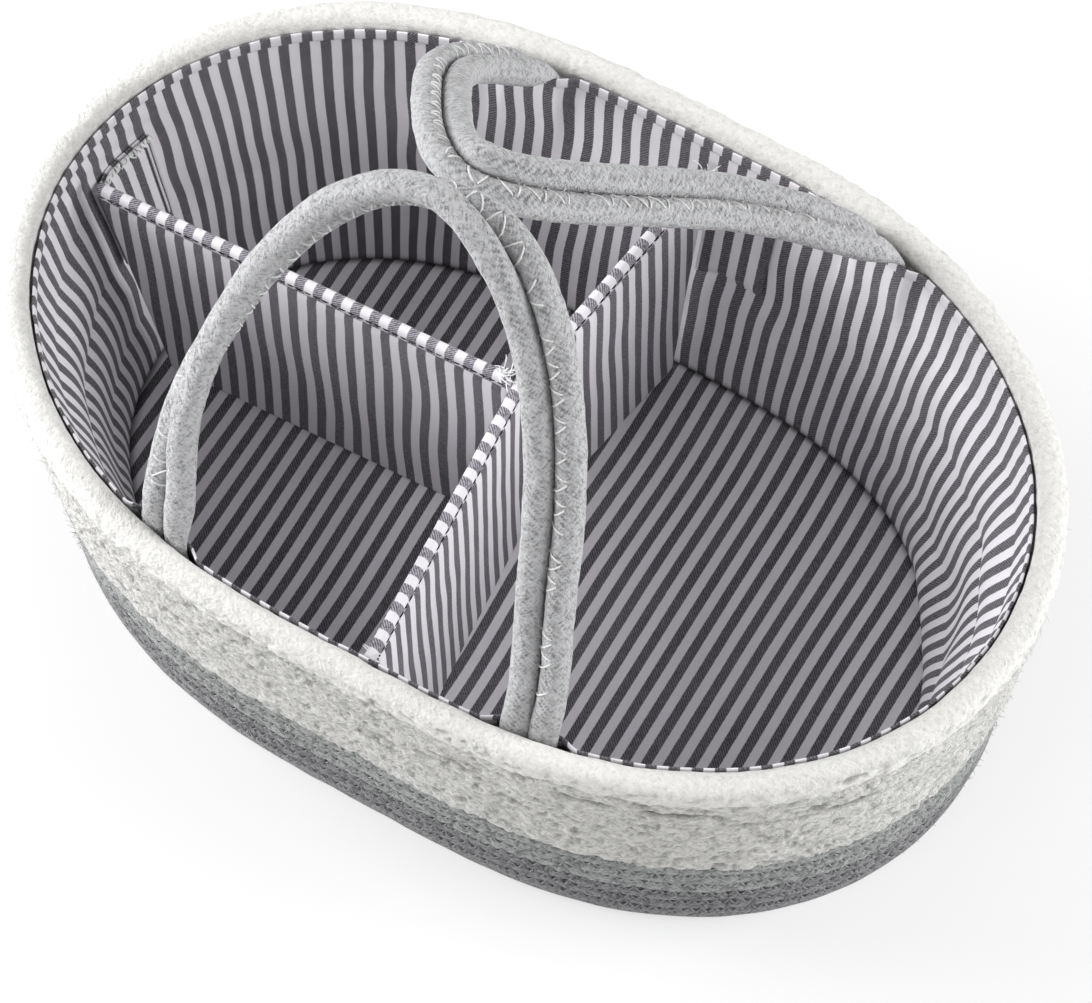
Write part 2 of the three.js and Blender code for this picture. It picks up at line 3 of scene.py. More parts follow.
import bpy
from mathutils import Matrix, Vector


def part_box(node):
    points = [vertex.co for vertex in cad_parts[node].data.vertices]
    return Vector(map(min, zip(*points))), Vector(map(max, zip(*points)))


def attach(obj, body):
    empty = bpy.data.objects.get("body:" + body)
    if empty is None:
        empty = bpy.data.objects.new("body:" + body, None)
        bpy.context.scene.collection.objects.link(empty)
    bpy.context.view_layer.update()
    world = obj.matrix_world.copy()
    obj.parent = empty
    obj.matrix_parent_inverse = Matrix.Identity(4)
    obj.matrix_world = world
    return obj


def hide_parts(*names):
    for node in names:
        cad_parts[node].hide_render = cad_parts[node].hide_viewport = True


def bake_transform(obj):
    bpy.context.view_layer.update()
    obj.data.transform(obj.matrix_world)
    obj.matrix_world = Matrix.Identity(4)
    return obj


bl_info = {
    "name": "Rope Diaper Caddy",
    "version": (1, 0, 0),
    "blender": (4, 5, 0),
    "location": "3D View > Sidebar > Caddy",
    "description": "Builds the rope, cloth, threads and stage of an oval diaper caddy",
    "category": "Object",
}

import math

import bpy
import numpy as np
from bpy.props import FloatProperty, FloatVectorProperty, IntProperty, PointerProperty
from mathutils import Vector

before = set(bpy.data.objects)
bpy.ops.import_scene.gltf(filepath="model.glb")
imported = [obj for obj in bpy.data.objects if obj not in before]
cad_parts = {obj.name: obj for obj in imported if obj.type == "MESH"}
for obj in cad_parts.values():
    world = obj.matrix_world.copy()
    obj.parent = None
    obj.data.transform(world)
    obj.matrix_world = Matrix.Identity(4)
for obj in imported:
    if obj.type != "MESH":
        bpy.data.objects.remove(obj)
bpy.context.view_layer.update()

# Lengths in the functions below are millimetres; a mesh is made in metres.
MM = 0.001
TAU = 2 * math.pi

# The basket's plan and courses, as the frame has them.
HALF_STRAIGHT = 65.0
OVAL_EASE = 0.33
BASE_RADIUS = 109.0
RIM_RADIUS = 120.0
MEAN_RADIUS = 115.0
BASE_Z = 4.0
COURSE_PITCH = 9.7603
RIM_LEVEL = 13
ROPE_RADIUS = 5.0
STEP_SHARE = 0.074  # share of a turn over which a course climbs one level
BASE_TURNS = 10
BASE_PITCH = BASE_RADIUS / BASE_TURNS

# The divider's plan.
CROSS_FRONT_X = 3.5
CROSS_BEND_X = -5.0
CROSS_REAR_X = 9.0
SHORT_LEFT_Y = -2.5
SHORT_RIGHT_Y = 3.5
END_SLOPE = 0.1885  # how far a panel's end moves out for each unit of height

# The handles' loops and sewn-in ends.
HANDLE_HALF_SPAN = 70.0
HANDLE_SWAY_END = 0.3
HANDLE_RADIUS = 5.0
HANDLE_SET = 5.05
HANDLE_SIDES = 40
HANDLE_EASE = {"front": 400, "rear": 1500}  # rounds of smoothing that take the corners out of a loop
JOIN_EASE = 60  # rounds that take out the corner where a sewn-in end meets its loop
BRAID_PERIOD = 2.5  # of the slanting marks along a rope
FLAT_Z = (131.0, 146.0)  # a rope goes from flat to round between these heights
EASE_Z = (138.0, 154.0)  # the rounding of a loop sets in between these heights
SEWN_LOW_Z = 147.0  # the thread of a pair starts above this height
HANDLE_AXIS_Y = 106.57
HANDLE_AXIS_Z = 140.51
FOOT_LOW_Z = 97.0
FOOT_HALF_THICKNESS = 1.8
FOOT_SET = 7.0  # from the wall's rope axis to the middle of a sewn-in end

# Each loop: its side, the middle of its feet, and its rise, lean in degrees, sway along X and pinch.
HANDLES = {
    "front": (-1, -6.0, 164.0, 30.0, -12.0, 0.0),
    "rear": (1, 9.0, 153.0, 44.5, -21.0, 0.6),
}

# How a pair of ropes turns over along its loop: degrees along the loop, degrees of turn.
HANDLE_TWIST = {
    "front": ((0, 20, 60, 78, 92, 120, 150, 166, 180), (0, 10, 25, 80, 124, 112, 84, 50, 0)),
    "rear": ((0, 30, 60, 90, 120, 150, 170, 180), (0, 6, 20, 66, 60, 58, 30, 0)),
}


def srgb(red, green, blue):
    """A colour given as it shows on a screen, 0 to 255, as linear values."""
    values = np.array([red, green, blue]) / 255
    return tuple(np.where(values <= 0.04045, values / 12.92, ((values + 0.055) / 1.055) ** 2.4))


# Settings that a user would change


class RopeSettings(bpy.types.PropertyGroup):
    """Colours and stitching of the coiled rope."""

    dark_grey: FloatVectorProperty(
        name="Dark grey", description="Rope of the base and the lowest courses",
        subtype="COLOR", size=3, min=0, max=1, default=srgb(146, 145, 148),
    )
    light_grey: FloatVectorProperty(
        name="Light grey", description="Rope of the middle courses",
        subtype="COLOR", size=3, min=0, max=1, default=srgb(167, 170, 169),
    )
    off_white: FloatVectorProperty(
        name="Off-white", description="Felted rope of the upper courses and the rim",
        subtype="COLOR", size=3, min=0, max=1, default=srgb(217, 216, 213),
    )
    stitch_pitch: FloatProperty(
        name="Stitch pitch", description="Length of one zigzag of the thread between two courses",
        unit="LENGTH", min=0.002, max=0.01, default=0.0043,
    )
    thread_thickness: FloatProperty(
        name="Thread thickness", description="Diameter of the sewing thread",
        unit="LENGTH", min=0.0003, max=0.0015, default=0.00045,
    )


class ClothSettings(bpy.types.PropertyGroup):
    """Stripes and looseness of the cotton."""

    stripe_white: FloatVectorProperty(
        name="White stripe", description="Pale stripe of the cotton",
        subtype="COLOR", size=3, min=0, max=1, default=srgb(245, 242, 247),
    )
    stripe_grey: FloatVectorProperty(
        name="Grey stripe", description="Dark stripe of the cotton",
        subtype="COLOR", size=3, min=0, max=1, default=srgb(75, 73, 78),
    )
    stripe_period: FloatProperty(
        name="Stripe period", description="Width of one pale and one dark stripe together",
        unit="LENGTH", min=0.003, max=0.03, default=0.0073,
    )
    wrinkle_depth: FloatProperty(
        name="Wrinkle depth", description="How far the lining's small wrinkles stand off the rope",
        unit="LENGTH", min=0, max=0.004, default=0.0011,
    )
    fold_depth: FloatProperty(
        name="Fold depth", description="How far the loose cloth at the open end bellies in",
        unit="LENGTH", min=0, max=0.01, default=0.006,
    )


class HandleSettings(bpy.types.PropertyGroup):
    """Rope and stitching of the two handles."""

    heather: FloatVectorProperty(
        name="Heather grey", description="Rope of the handles",
        subtype="COLOR", size=3, min=0, max=1, default=srgb(192, 192, 194),
    )
    stitch_pitch: FloatProperty(
        name="Stitch pitch", description="Length of one zigzag of the thread that joins a pair of ropes",
        unit="LENGTH", min=0.004, max=0.02, default=0.0095,
    )


class StageSettings(bpy.types.PropertyGroup):
    """Camera, floor and light."""

    azimuth: FloatProperty(
        name="Azimuth", description="Camera's turn from the front towards +X",
        subtype="ANGLE", default=math.radians(30.0),
    )
    elevation: FloatProperty(
        name="Elevation", description="Camera's height above the floor as an angle",
        subtype="ANGLE", default=math.radians(63.4),
    )
    distance: FloatProperty(
        name="Distance", description="From the camera to the point that it looks at",
        unit="LENGTH", min=0.3, default=1.5,
    )
    target: FloatVectorProperty(
        name="Target", description="Point that the camera looks at",
        subtype="TRANSLATION", unit="LENGTH", size=3, default=(0.0121, -0.0082, 0.070),
    )
    lens: FloatProperty(
        name="Lens", description="Focal length of the camera in millimetres", min=20, default=142.57,
    )
    fill: FloatProperty(
        name="Fill light", description="Strength of the light from all round", min=0, default=0.4,
    )
    key_power: IntProperty(
        name="Key light", description="Power of the large soft lamp in watts", min=0, default=24,
    )


# Plan, noise and meshes


def unit(vectors):
    """Vectors along the last axis, each made one unit long."""
    return vectors / np.linalg.norm(vectors, axis=-1, keepdims=True)


def run_along(points):
    """Distance along a line from its first point to each of its points."""
    return np.concatenate([[0], np.cumsum(np.linalg.norm(np.diff(points, axis=0), axis=1))])


def line_at(where, run, values):
    """Values of a line at distances along it."""
    return np.stack([np.interp(where, run, column) for column in values.T], -1)


def lifted(plan, z):
    """Plan points with their heights."""
    return np.concatenate([plan, z[..., None]], -1)


def cloth_grid(along, across):
    """The two cloth coordinates of each point of a grid."""
    return np.stack(np.broadcast_arrays(along, across), -1)


def level_z(level):
    """Height of the axis of a course."""
    return BASE_Z + level * COURSE_PITCH


RIM_Z = level_z(RIM_LEVEL)


def wall_radius(z):
    """Half the width of the wall's rope axis at a height."""
    return BASE_RADIUS + (RIM_RADIUS - BASE_RADIUS) * (z - BASE_Z) / (RIM_Z - BASE_Z)


def oval(angle, radius, ease=OVAL_EASE, straight=HALF_STRAIGHT):
    """Points of the basket's plan at the given angles."""
    cosine = np.cos(angle)
    spread = np.sign(cosine) * np.abs(cosine) ** ease
    return np.stack([radius * cosine + straight * spread, radius * np.sin(angle)], -1)


def even_angles(radius):
    """Angles of one turn from the middle of the rear side, and the share of the turn at each."""
    quarter = np.pi / 2 * np.linspace(0, 1, 700) ** 3
    back = quarter[::-1]
    starts = (np.pi / 2 + quarter, 1.5 * np.pi - back, 1.5 * np.pi + quarter, 2.5 * np.pi - back)
    angle = np.concatenate(starts)
    run = run_along(oval(angle, radius))
    return angle, run / run[-1], run[-1]


TURN_ANGLES, TURN_SHARES, TURN_LENGTH = even_angles(MEAN_RADIUS)


def around(share, radius):
    """Plan points at shares of a turn, counted from the middle of the rear side towards -X."""
    angle = np.interp(np.mod(share, 1.0), TURN_SHARES, TURN_ANGLES)
    return oval(angle, radius)


def outward(share):
    """Unit vectors that point out of the basket at shares of a turn."""
    nudge = 2e-3
    along = around(share + nudge, MEAN_RADIUS) - around(share - nudge, MEAN_RADIUS)
    normal = np.stack([along[..., 1], -along[..., 0]], -1)
    return unit(normal)


def inside_wall(share, z, inset):
    """Points at a distance in from the axis of the wall's rope."""
    plan = around(share, wall_radius(z)) - outward(share) * inset[..., None]
    return lifted(plan, z)


def share_at(side, x):
    """Share of a turn at which the rear (1) or front (-1) side has this X."""
    shares = np.linspace(-0.25, 0.25, 2001) + (0 if side > 0 else 0.5)
    across = around(shares, MEAN_RADIUS)[:, 0]
    order = np.argsort(across)
    return float(np.interp(x, across[order], shares[order]))


def smoothstep(value, low, high):
    """Smooth rise from 0 at low to 1 at high."""
    part = np.clip((value - low) / (high - low), 0, 1)
    return part * part * (3 - 2 * part)


def bump(value, middle, width):
    """A smooth hill of height 1."""
    return np.exp(-(((value - middle) / width) ** 2))


def scatter(x, y, seed):
    """A fixed number from 0 to 1 for each whole-number pair."""
    mixed = np.sin(x * 127.1 + y * 311.7 + seed * 74.7) * 43758.5453
    return mixed - np.floor(mixed)


def soft_noise(x, y, seed, wrap=None):
    """Smooth noise from -1 to 1, one hill per unit; wrap makes it repeat along x."""
    x, y = np.broadcast_arrays(np.asarray(x, float), np.asarray(y, float))
    left = np.floor(x)
    low = np.floor(y)
    right = left + 1
    fx = (x - left) ** 2 * (3 - 2 * (x - left))
    fy = (y - low) ** 2 * (3 - 2 * (y - low))
    if wrap:
        left = np.mod(left, wrap)
        right = np.mod(right, wrap)
    below = scatter(left, low, seed) * (1 - fx) + scatter(right, low, seed) * fx
    above = scatter(left, low + 1, seed) * (1 - fx) + scatter(right, low + 1, seed) * fx
    return 2 * (below * (1 - fy) + above * fy) - 1


def rope_noise(run, arc, length, width, seed):
    """Smooth noise over a rope: hills of this length along it and this width round it."""
    return soft_noise(run[:, None] / length, arc[None] / width, seed)


def link_mesh(name, points, faces, coords=None, hollow_and_shade=None):
    """A smooth object from points in millimetres, with cloth coordinates and a mask of hollows that its
    material darkens as painted shade.
    """
    mesh = bpy.data.meshes.new(name)
    mesh.from_pydata((np.asarray(points) * MM).tolist(), [], faces)
    if coords is not None:
        layer = mesh.uv_layers.new(name="cloth")
        layer.uv.foreach_set("vector", np.asarray(coords, np.float32).ravel())
    if hollow_and_shade is not None:
        layer = mesh.attributes.new("hollow_and_shade", "FLOAT", "POINT")
        layer.data.foreach_set("value", np.asarray(hollow_and_shade, np.float32).ravel())
    mesh.validate()
    mesh.shade_smooth()
    obj = bpy.data.objects.new(name, mesh)
    bpy.context.scene.collection.objects.link(obj)
    return obj


# Corners of the quads of a grid.
QUAD = (np.s_[:-1, :-1], np.s_[:-1, 1:], np.s_[1:, 1:], np.s_[1:, :-1])


def grid_object(name, points, coords, loop_rows=False, loop_cols=False, caps=False, hollow_and_shade=None):
    """An object over a grid of points. coords has one more row or column where the grid closes."""
    rows, cols = points.shape[:2]
    index = np.arange(rows * cols).reshape(rows, cols)
    if loop_rows:
        index = np.vstack([index, index[:1]])
    if loop_cols:
        index = np.hstack([index, index[:, :1]])
    faces = np.stack([index[corner] for corner in QUAD], -1).reshape(-1, 4).tolist()
    flat = np.stack([coords[corner] for corner in QUAD], 2).reshape(-1, 2)
    if caps:
        first = list(range(cols))[::-1]
        last = list(range((rows - 1) * cols, rows * cols))
        faces += [first, last]
        flat = np.vstack([flat, np.repeat(coords[:1, 0], cols, 0), np.repeat(coords[-1:, 0], cols, 0)])
    return link_mesh(name, points.reshape(-1, 3), faces, flat, hollow_and_shade)


def turn_faces_out(obj):
    """Makes the faces of a closed mesh point outwards."""
    mesh = obj.data
    points = np.array([v.co for v in mesh.vertices])
    mesh.calc_loop_triangles()
    corners = np.array([t.vertices for t in mesh.loop_triangles])
    a, b, c = (points[corners[:, k]] for k in range(3))
    if (a * np.cross(b, c)).sum() < 0:
        mesh.flip_normals()


def closed_grid(name, points, coords, ring=False, hollow_and_shade=None):
    """A tube over a grid of points, joined into a ring or capped at both ends."""
    obj = grid_object(name, points, coords, ring, True, not ring, hollow_and_shade)
    turn_faces_out(obj)
    return obj


def thread_object(name, strokes, radius, sides=5):
    """One object of many short thread strokes; strokes is stroke by point by axis."""
    strokes = np.asarray(strokes, float)
    count, steps = strokes.shape[:2]
    along = unit(np.gradient(strokes, axis=1))
    lean = np.abs(along.mean(1))
    helper = np.eye(3)[np.argmin(lean, axis=1)][:, None, :]
    aside = unit(np.cross(along, helper))
    above = np.cross(along, aside)
    turn = np.arange(sides) / sides * TAU
    thick = np.full(steps, radius)
    thick[[0, -1]] *= 0.45
    ring = aside[:, :, None] * np.cos(turn)[:, None] + above[:, :, None] * np.sin(turn)[:, None]
    points = strokes[:, :, None] + ring * thick[:, None, None]
    index = np.arange(count * steps * sides).reshape(count, steps, sides)
    nearer = np.roll(index, -1, axis=2)
    quads = np.stack([index[:, :-1], nearer[:, :-1], nearer[:, 1:], index[:, 1:]], -1).reshape(-1, 4)
    faces = quads.tolist()
    faces += index[:, 0, ::-1].tolist()
    faces += index[:, -1].tolist()
    return link_mesh(name, points.reshape(-1, 3), faces)


# Materials


class Tree:
    """Short calls for the nodes of one material."""

    def __init__(self, name, roughness):
        self.material = bpy.data.materials.new(name)
        self.material.use_nodes = True
        self.nodes = self.material.node_tree.nodes
        self.links = self.material.node_tree.links
        self.nodes.clear()
        self.shader = self.add("ShaderNodeBsdfPrincipled")
        self.shader.inputs["Roughness"].default_value = roughness
        self.shader.inputs["Specular IOR Level"].default_value = 0.2
        output = self.add("ShaderNodeOutputMaterial")
        self.links.new(self.shader.outputs["BSDF"], output.inputs["Surface"])

    def add(self, kind, **settings):
        node = self.nodes.new(kind)
        for key, value in settings.items():
            setattr(node, key, value)
        return node

    def put(self, socket, value):
        if isinstance(value, bpy.types.NodeSocket):
            self.links.new(value, socket)
        else:
            socket.default_value = value

    def math(self, operation, first, second=0.0, third=0.0):
        node = self.add("ShaderNodeMath", operation=operation)
        for socket, value in zip(node.inputs, (first, second, third)):
            self.put(socket, value)
        return node.outputs[0]

    def ramp(self, value, low, high):
        node = self.add("ShaderNodeMapRange", interpolation_type="SMOOTHSTEP")
        self.put(node.inputs["Value"], value)
        node.inputs["From Min"].default_value = low
        node.inputs["From Max"].default_value = high
        return node.outputs["Result"]

    def mix(self, factor, first, second, blend="MIX"):
        node = self.add("ShaderNodeMix", data_type="RGBA", blend_type=blend)
        self.put(node.inputs[0], factor)
        for place, color in ((6, first), (7, second)):
            linked = isinstance(color, bpy.types.NodeSocket)
            self.put(node.inputs[place], color if linked else (*color, 1))
        return node.outputs[2]

    def place(self):
        """Position on the object at rest, in metres."""
        return self.add("ShaderNodeTexCoord").outputs["Object"]

    def cloth(self):
        """The two cloth coordinates, in millimetres."""
        split = self.add("ShaderNodeSeparateXYZ")
        self.links.new(self.add("ShaderNodeUVMap", uv_map="cloth").outputs["UV"], split.inputs[0])
        return split.outputs[0], split.outputs[1]

    def noise(self, scale, detail=3.0, roughness=0.55, where=None):
        node = self.add("ShaderNodeTexNoise")
        self.links.new(where or self.place(), node.inputs["Vector"])
        node.inputs["Scale"].default_value = scale
        node.inputs["Detail"].default_value = detail
        node.inputs["Roughness"].default_value = roughness
        return node.outputs["Fac"]

    def dashes(self, angle, length, width):
        """Noise drawn out into short strokes at an angle to the rope."""
        along, across = self.cloth()
        cosine, sine = math.cos(angle), math.sin(angle)
        where = self.add("ShaderNodeCombineXYZ")
        turned = ((cosine, sine, length), (-sine, cosine, width))
        for socket, (first, second, size) in zip(where.inputs, turned):
            part = self.math("MULTIPLY", across, second / size)
            self.links.new(self.math("MULTIPLY_ADD", along, first / size, part), socket)
        return self.noise(1.0, 2.0, 0.6, where.outputs[0])

    # Mask of hollows that the materials darken as painted shade.
    def hollow_and_shade(self):
        return self.add("ShaderNodeAttribute", attribute_name="hollow_and_shade").outputs["Fac"]

    def finish(self, color, height=None, strength=0.5, distance=0.0005):
        self.put(self.shader.inputs["Base Color"], color)
        if height is not None:
            node = self.add("ShaderNodeBump")
            node.inputs["Strength"].default_value = strength
            node.inputs["Distance"].default_value = distance
            self.links.new(height, node.inputs["Height"])
            self.links.new(node.outputs["Normal"], self.shader.inputs["Normal"])
        return self.material


def shade(color, factor):
    """A colour made darker or lighter."""
    return tuple(min(1.0, channel * factor) for channel in color)


def rope_material(name, color, regular, dash, mottle, deep=0.35):
    """Cotton rope: slanting strands, broken up by short fibres and felted patches.

    regular, dash and mottle say how strongly each of these shows, deep how dark the dips are.
    """
    tree = Tree(name, 0.95)
    along, across = tree.cloth()
    fuzz = tree.noise(420.0, 4.0, 0.65)
    slack = tree.math("MULTIPLY", tree.math("SUBTRACT", fuzz, 0.5), 3.4)
    slant = tree.math("ADD", along, tree.math("MULTIPLY", tree.math("PINGPONG", across, 2.1), 0.9))
    strands = tree.math("SINE", tree.math("MULTIPLY", tree.math("ADD", slant, slack), TAU / 2.5))
    fibres = tree.math("ADD", tree.dashes(0.8, 2.4, 0.8), tree.dashes(-0.8, 2.4, 0.8))
    fibres = tree.math("MULTIPLY_ADD", fibres, 0.7, -0.7)
    clumps = tree.math("SUBTRACT", tree.noise(420.0, 4.0, 0.68), 0.5)
    level = tree.math("MULTIPLY_ADD", strands, 0.3 * regular, 0.74)
    level = tree.math("MULTIPLY_ADD", fibres, 2.6 * dash, level)
    level = tree.math("MULTIPLY_ADD", clumps, 1.7 * mottle, level)
    toned = tree.mix(tree.ramp(level, 0.0, 1.0), shade(color, deep), shade(color, 1.14))
    # Painted shade: the hollows in the hollow_and_shade mask are darkened towards a near-black copy of the
    # rope.
    shade_in_hollows = tree.mix(tree.math("MULTIPLY", tree.hollow_and_shade(), 0.85), toned, shade(color, 0.12))
    height = tree.math("MULTIPLY_ADD", strands, 0.4 * regular, tree.math("MULTIPLY", fibres, 2.4 * dash))
    height = tree.math("MULTIPLY_ADD", clumps, 3.0 * mottle, height)
    height = tree.math("MULTIPLY_ADD", fuzz, 0.5, height)
    tree.shader.inputs["Sheen Weight"].default_value = 0.3
    tree.shader.inputs["Sheen Roughness"].default_value = 0.6
    return tree.finish(shade_in_hollows, height, 0.8, 0.0008)


def striped_cotton(name, settings, offset=0.0, painted_light_lift=1.0):
    """Yarn-dyed stripes: plain weave in the pale ones, twill in the dark ones."""
    tree = Tree(name, 0.9)
    along, across = tree.cloth()
    period = settings.stripe_period / MM
    waver = tree.math("MULTIPLY", tree.math("SUBTRACT", tree.noise(900.0, 2.0), 0.5), 0.35)
    run = tree.math("ADD", tree.math("ADD", along, offset * period), waver)
    wave = tree.math("SINE", tree.math("MULTIPLY", run, TAU / period))
    stripe = tree.ramp(wave, -0.16, 0.16)
    twill_run = tree.math("MULTIPLY", tree.math("ADD", along, across), TAU / 1.25)
    twill = tree.math("MULTIPLY_ADD", tree.math("SINE", twill_run), 0.5, 0.5)
    grain = tree.noise(1150.0, 3.0, 0.75)
    pepper = tree.ramp(tree.math("MULTIPLY_ADD", twill, 0.3, grain), 0.52, 0.8)
    # Above 1, painted_light_lift is painted light: a lighter copy of the grey stripe for faces that catch
    # more light.
    grey = shade(tuple(settings.stripe_grey), painted_light_lift)
    white = tuple(settings.stripe_white)
    dark = tree.mix(pepper, shade(grey, 0.4), shade(grey, 2.5))
    weft = tree.math("SINE", tree.math("MULTIPLY", across, TAU / 0.7))
    woven = tree.math("MULTIPLY_ADD", weft, 0.12, tree.math("MULTIPLY", grain, 0.5))
    pale = tree.mix(woven, white, shade(white, 0.8))
    cloth = tree.mix(stripe, pale, dark)
    clouds = tree.noise(35.0, 2.0)
    worn = tree.mix(tree.math("MULTIPLY", clouds, 0.16), cloth, shade(white, 0.7))
    # Painted shade: the hollows in the hollow_and_shade mask are darkened towards a deep grey.
    shade_in_hollows = tree.mix(tree.math("MULTIPLY", tree.hollow_and_shade(), 0.8), worn, shade(grey, 0.3))
    height = tree.math("ADD", tree.math("MULTIPLY", twill, stripe), tree.math("MULTIPLY", grain, 0.7))
    tree.shader.inputs["Sheen Weight"].default_value = 0.12
    return tree.finish(shade_in_hollows, height, 0.35, 0.0003)


def thread_material(name, color):
    """Spun sewing thread with a slight twist in its tone."""
    tree = Tree(name, 0.7)
    twist = tree.noise(2600.0, 1.0)
    tone = tree.mix(tree.ramp(twist, 0.3, 0.7), shade(color, 0.78), shade(color, 1.1))
    return tree.finish(tone, twist, 0.3, 0.0002)


def tape_material(name, color, scale, depth):
    """Nylon tape whose face is a bed of small loops or hooks."""
    tree = Tree(name, 0.6)
    node = tree.add("ShaderNodeTexVoronoi")
    tree.links.new(tree.place(), node.inputs["Vector"])
    node.inputs["Scale"].default_value = scale
    pile = tree.ramp(node.outputs["Distance"], 0.0, 0.6)
    tone = tree.mix(pile, shade(color, 1.05), shade(color, 0.62))
    return tree.finish(tone, pile, 0.7, depth)


def board_material(name, color):
    """Matt stiffener sheet with a faint pressed grain."""
    tree = Tree(name, 0.55)
    grain = tree.noise(700.0, 3.0)
    tone = tree.mix(tree.ramp(grain, 0.3, 0.7), shade(color, 0.93), shade(color, 1.04))
    return tree.finish(tone, grain, 0.15, 0.0002)


def dress(obj, material, slot, body, *nodes):
    """Gives a piece its material and body, and hides the solids that it stands for, given by name; slot is
    not used.
    """
    obj.data.materials.clear()
    obj.data.materials.append(material)
    if body:
        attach(obj, body)
    if nodes:
        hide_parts(*nodes)
    return obj


# Rope courses


SECTION_OUTER = 17  # points of a course's section on the side that shows
SECTION_INNER = 7
SHOWN_ARC = 0.62  # half of the section's arc that shows, in half turns
BAND_LEAD = 0.055  # share of a turn over which a band's rope starts, tucked under
END_TUCK = 0.36  # how far a rope's end moves into the next course, in courses
END_TAPER = 0.7  # how much thinner it gets there
PIT_DEPTH = 1.25  # depth of a full hollow
RING_STEPS = 860  # points round the rim, the sleeve and the hem


def section_angles(outer, inner):
    """Angles round a rope's section, closer together on the side that shows."""
    front = np.linspace(-SHOWN_ARC * np.pi, SHOWN_ARC * np.pi, outer)
    back = np.linspace(SHOWN_ARC * np.pi, (2 - SHOWN_ARC) * np.pi, inner + 2)[1:-1]
    return np.concatenate([front, back])


def section_shape(angle, half_width, half_height, power):
    """A rounded-square section: out and up for each angle."""
    out = np.cos(angle)
    up = np.sin(angle)
    size = (np.abs(out) ** power + np.abs(up) ** power) ** (-1 / power)
    return half_width * out * size, half_height * up * size


def course_height(turn):
    """Height of a wound course after this many turns: level, then a climb over the rear side."""
    whole = np.floor(turn)
    return level_z(whole + smoothstep(turn - whole, 1 - STEP_SHARE, 1.0))


def stitch_count(pitch):
    return int(round(TURN_LENGTH / pitch))


def join_phase(join):
    """Where the zigzag of a join starts, as a part of its pitch."""
    return scatter(join, 3.0, 1.0)


STITCH_REACH = 2.6  # from a join to the tips of its zigzag
TIP_UP = COURSE_PITCH / 2 - STITCH_REACH

# Joins of the felted courses that gape: level below the join, share of a turn, length, depth.
GAPES = (
    (11, 0.589, 0.013, 0.8),
    (11, 0.618, 0.014, 1.0),
    (10, 0.649, 0.022, 0.6),
    (10, 0.677, 0.012, 1.0),
    (10, 0.545, 0.012, 0.5),
    (8, 0.447, 0.010, 0.6),
    (9, 0.130, 0.015, 0.9),
    (7, 0.290, 0.018, 0.9),
    (8, 0.880, 0.020, 1.0),
    (10, 0.790, 0.013, 0.8),
)


def gape_at(join, share):
    """How far a join stands open at shares of a turn, 0 to 1."""
    total = np.zeros(np.shape(share))
    for level, middle, length, depth in GAPES:
        near = np.where(np.abs(join - level) < 0.5, depth, 0.0)
        off = np.abs(np.mod(share - middle + 0.5, 1.0) - 0.5)
        total = np.maximum(total, near * (1 - smoothstep(off, 0.35 * length, length)))
    return total


def rope_surface(path, normal, shape, swell):
    """Grid of points of a rope along a level path: swell moves the surface out or in."""
    out, up = shape
    reach = np.hypot(out, up)
    factor = (1 + swell / reach)[..., None]
    offset = normal[:, None] * out[:, None] + np.array([0, 0, 1.0]) * up[:, None]
    return path[:, None] + offset * factor


def band_object(name, first, turns, spacing, shape, lumps, pits, pitch, seed):
    """The wound rope of one colour, from its cut-down start to its butted end."""
    count = int((turns + BAND_LEAD) * TURN_LENGTH / spacing)
    turn = first + np.linspace(-BAND_LEAD, turns, count)
    share = np.mod(turn, 1.0)
    before = np.clip((first - turn) / BAND_LEAD, 0, 1)
    last = np.clip((turn - (first + turns - STEP_SHARE)) / STEP_SHARE, 0, 1)
    under_rim = first + turns >= RIM_LEVEL
    height = course_height(np.maximum(turn, first))
    height = np.minimum(height, level_z(first + turns - int(under_rim)))
    height -= before * COURSE_PITCH * END_TUCK
    size = 1 - before * END_TAPER
    if under_rim:
        height += last * COURSE_PITCH * END_TUCK
        size = size - last * END_TAPER
    path = lifted(around(share, wall_radius(height)), height)
    normal = lifted(outward(share), np.zeros(count))
    angle = section_angles(SECTION_OUTER, SECTION_INNER)
    width, overlap, power = shape
    out, up = section_shape(angle, width, 0.5 * COURSE_PITCH + overlap, power)
    run = turn * TURN_LENGTH
    arc = angle * ROPE_RADIUS
    swell = lumps * rope_noise(run, arc, 9.0, 4.5, seed)
    swell = swell + 0.7 * lumps * rope_noise(run, arc, 3.1, 2.7, seed + 1)
    level = np.floor(turn + 1e-6)
    # hollow_and_shade dents the rope and, through its material, paints shade into the stitch dents, felt
    # pits and gaping joins.
    if pits == "stitched":
        hollow_and_shade = stitch_pits(share, level, run, out, up, pitch, seed)
    else:
        hollow_and_shade = felt_pits(run, arc, seed + 5) * (out > 0)[None]
        swell = swell + lumps * rope_noise(run, arc, 2.1, 1.8, seed + 9)
    for side in (1, -1):
        join = level if side > 0 else level - 1
        lip = smoothstep(side * up, 1.2, 4.4) * (out > 0)
        hollow_and_shade = np.maximum(hollow_and_shade, gape_at(join, share)[:, None] * lip[None])
    points = rope_surface(path, normal, (out, up), swell - PIT_DEPTH * hollow_and_shade)
    points = path[:, None] + (points - path[:, None]) * size[:, None, None]
    coords = cloth_grid(run[:, None], np.append(arc, arc[0] + TAU * ROPE_RADIUS))
    return closed_grid(name, points, coords, hollow_and_shade=hollow_and_shade)


def felt_pits(run, arc, seed):
    """Small flat dents strewn over felted wool, thicker in some patches than in others."""
    specks = rope_noise(run, arc, 2.2, 1.9, seed)
    fine = rope_noise(run, arc, 1.5, 1.3, seed + 2)
    patches = rope_noise(run, arc, 26.0, 8.0, seed + 1)
    deep = 0.75 * smoothstep(specks, 0.32, 0.75) * (0.35 + 0.65 * smoothstep(patches, -0.6, 0.4))
    return np.maximum(deep, 0.34 * smoothstep(fine, 0.2, 0.8))


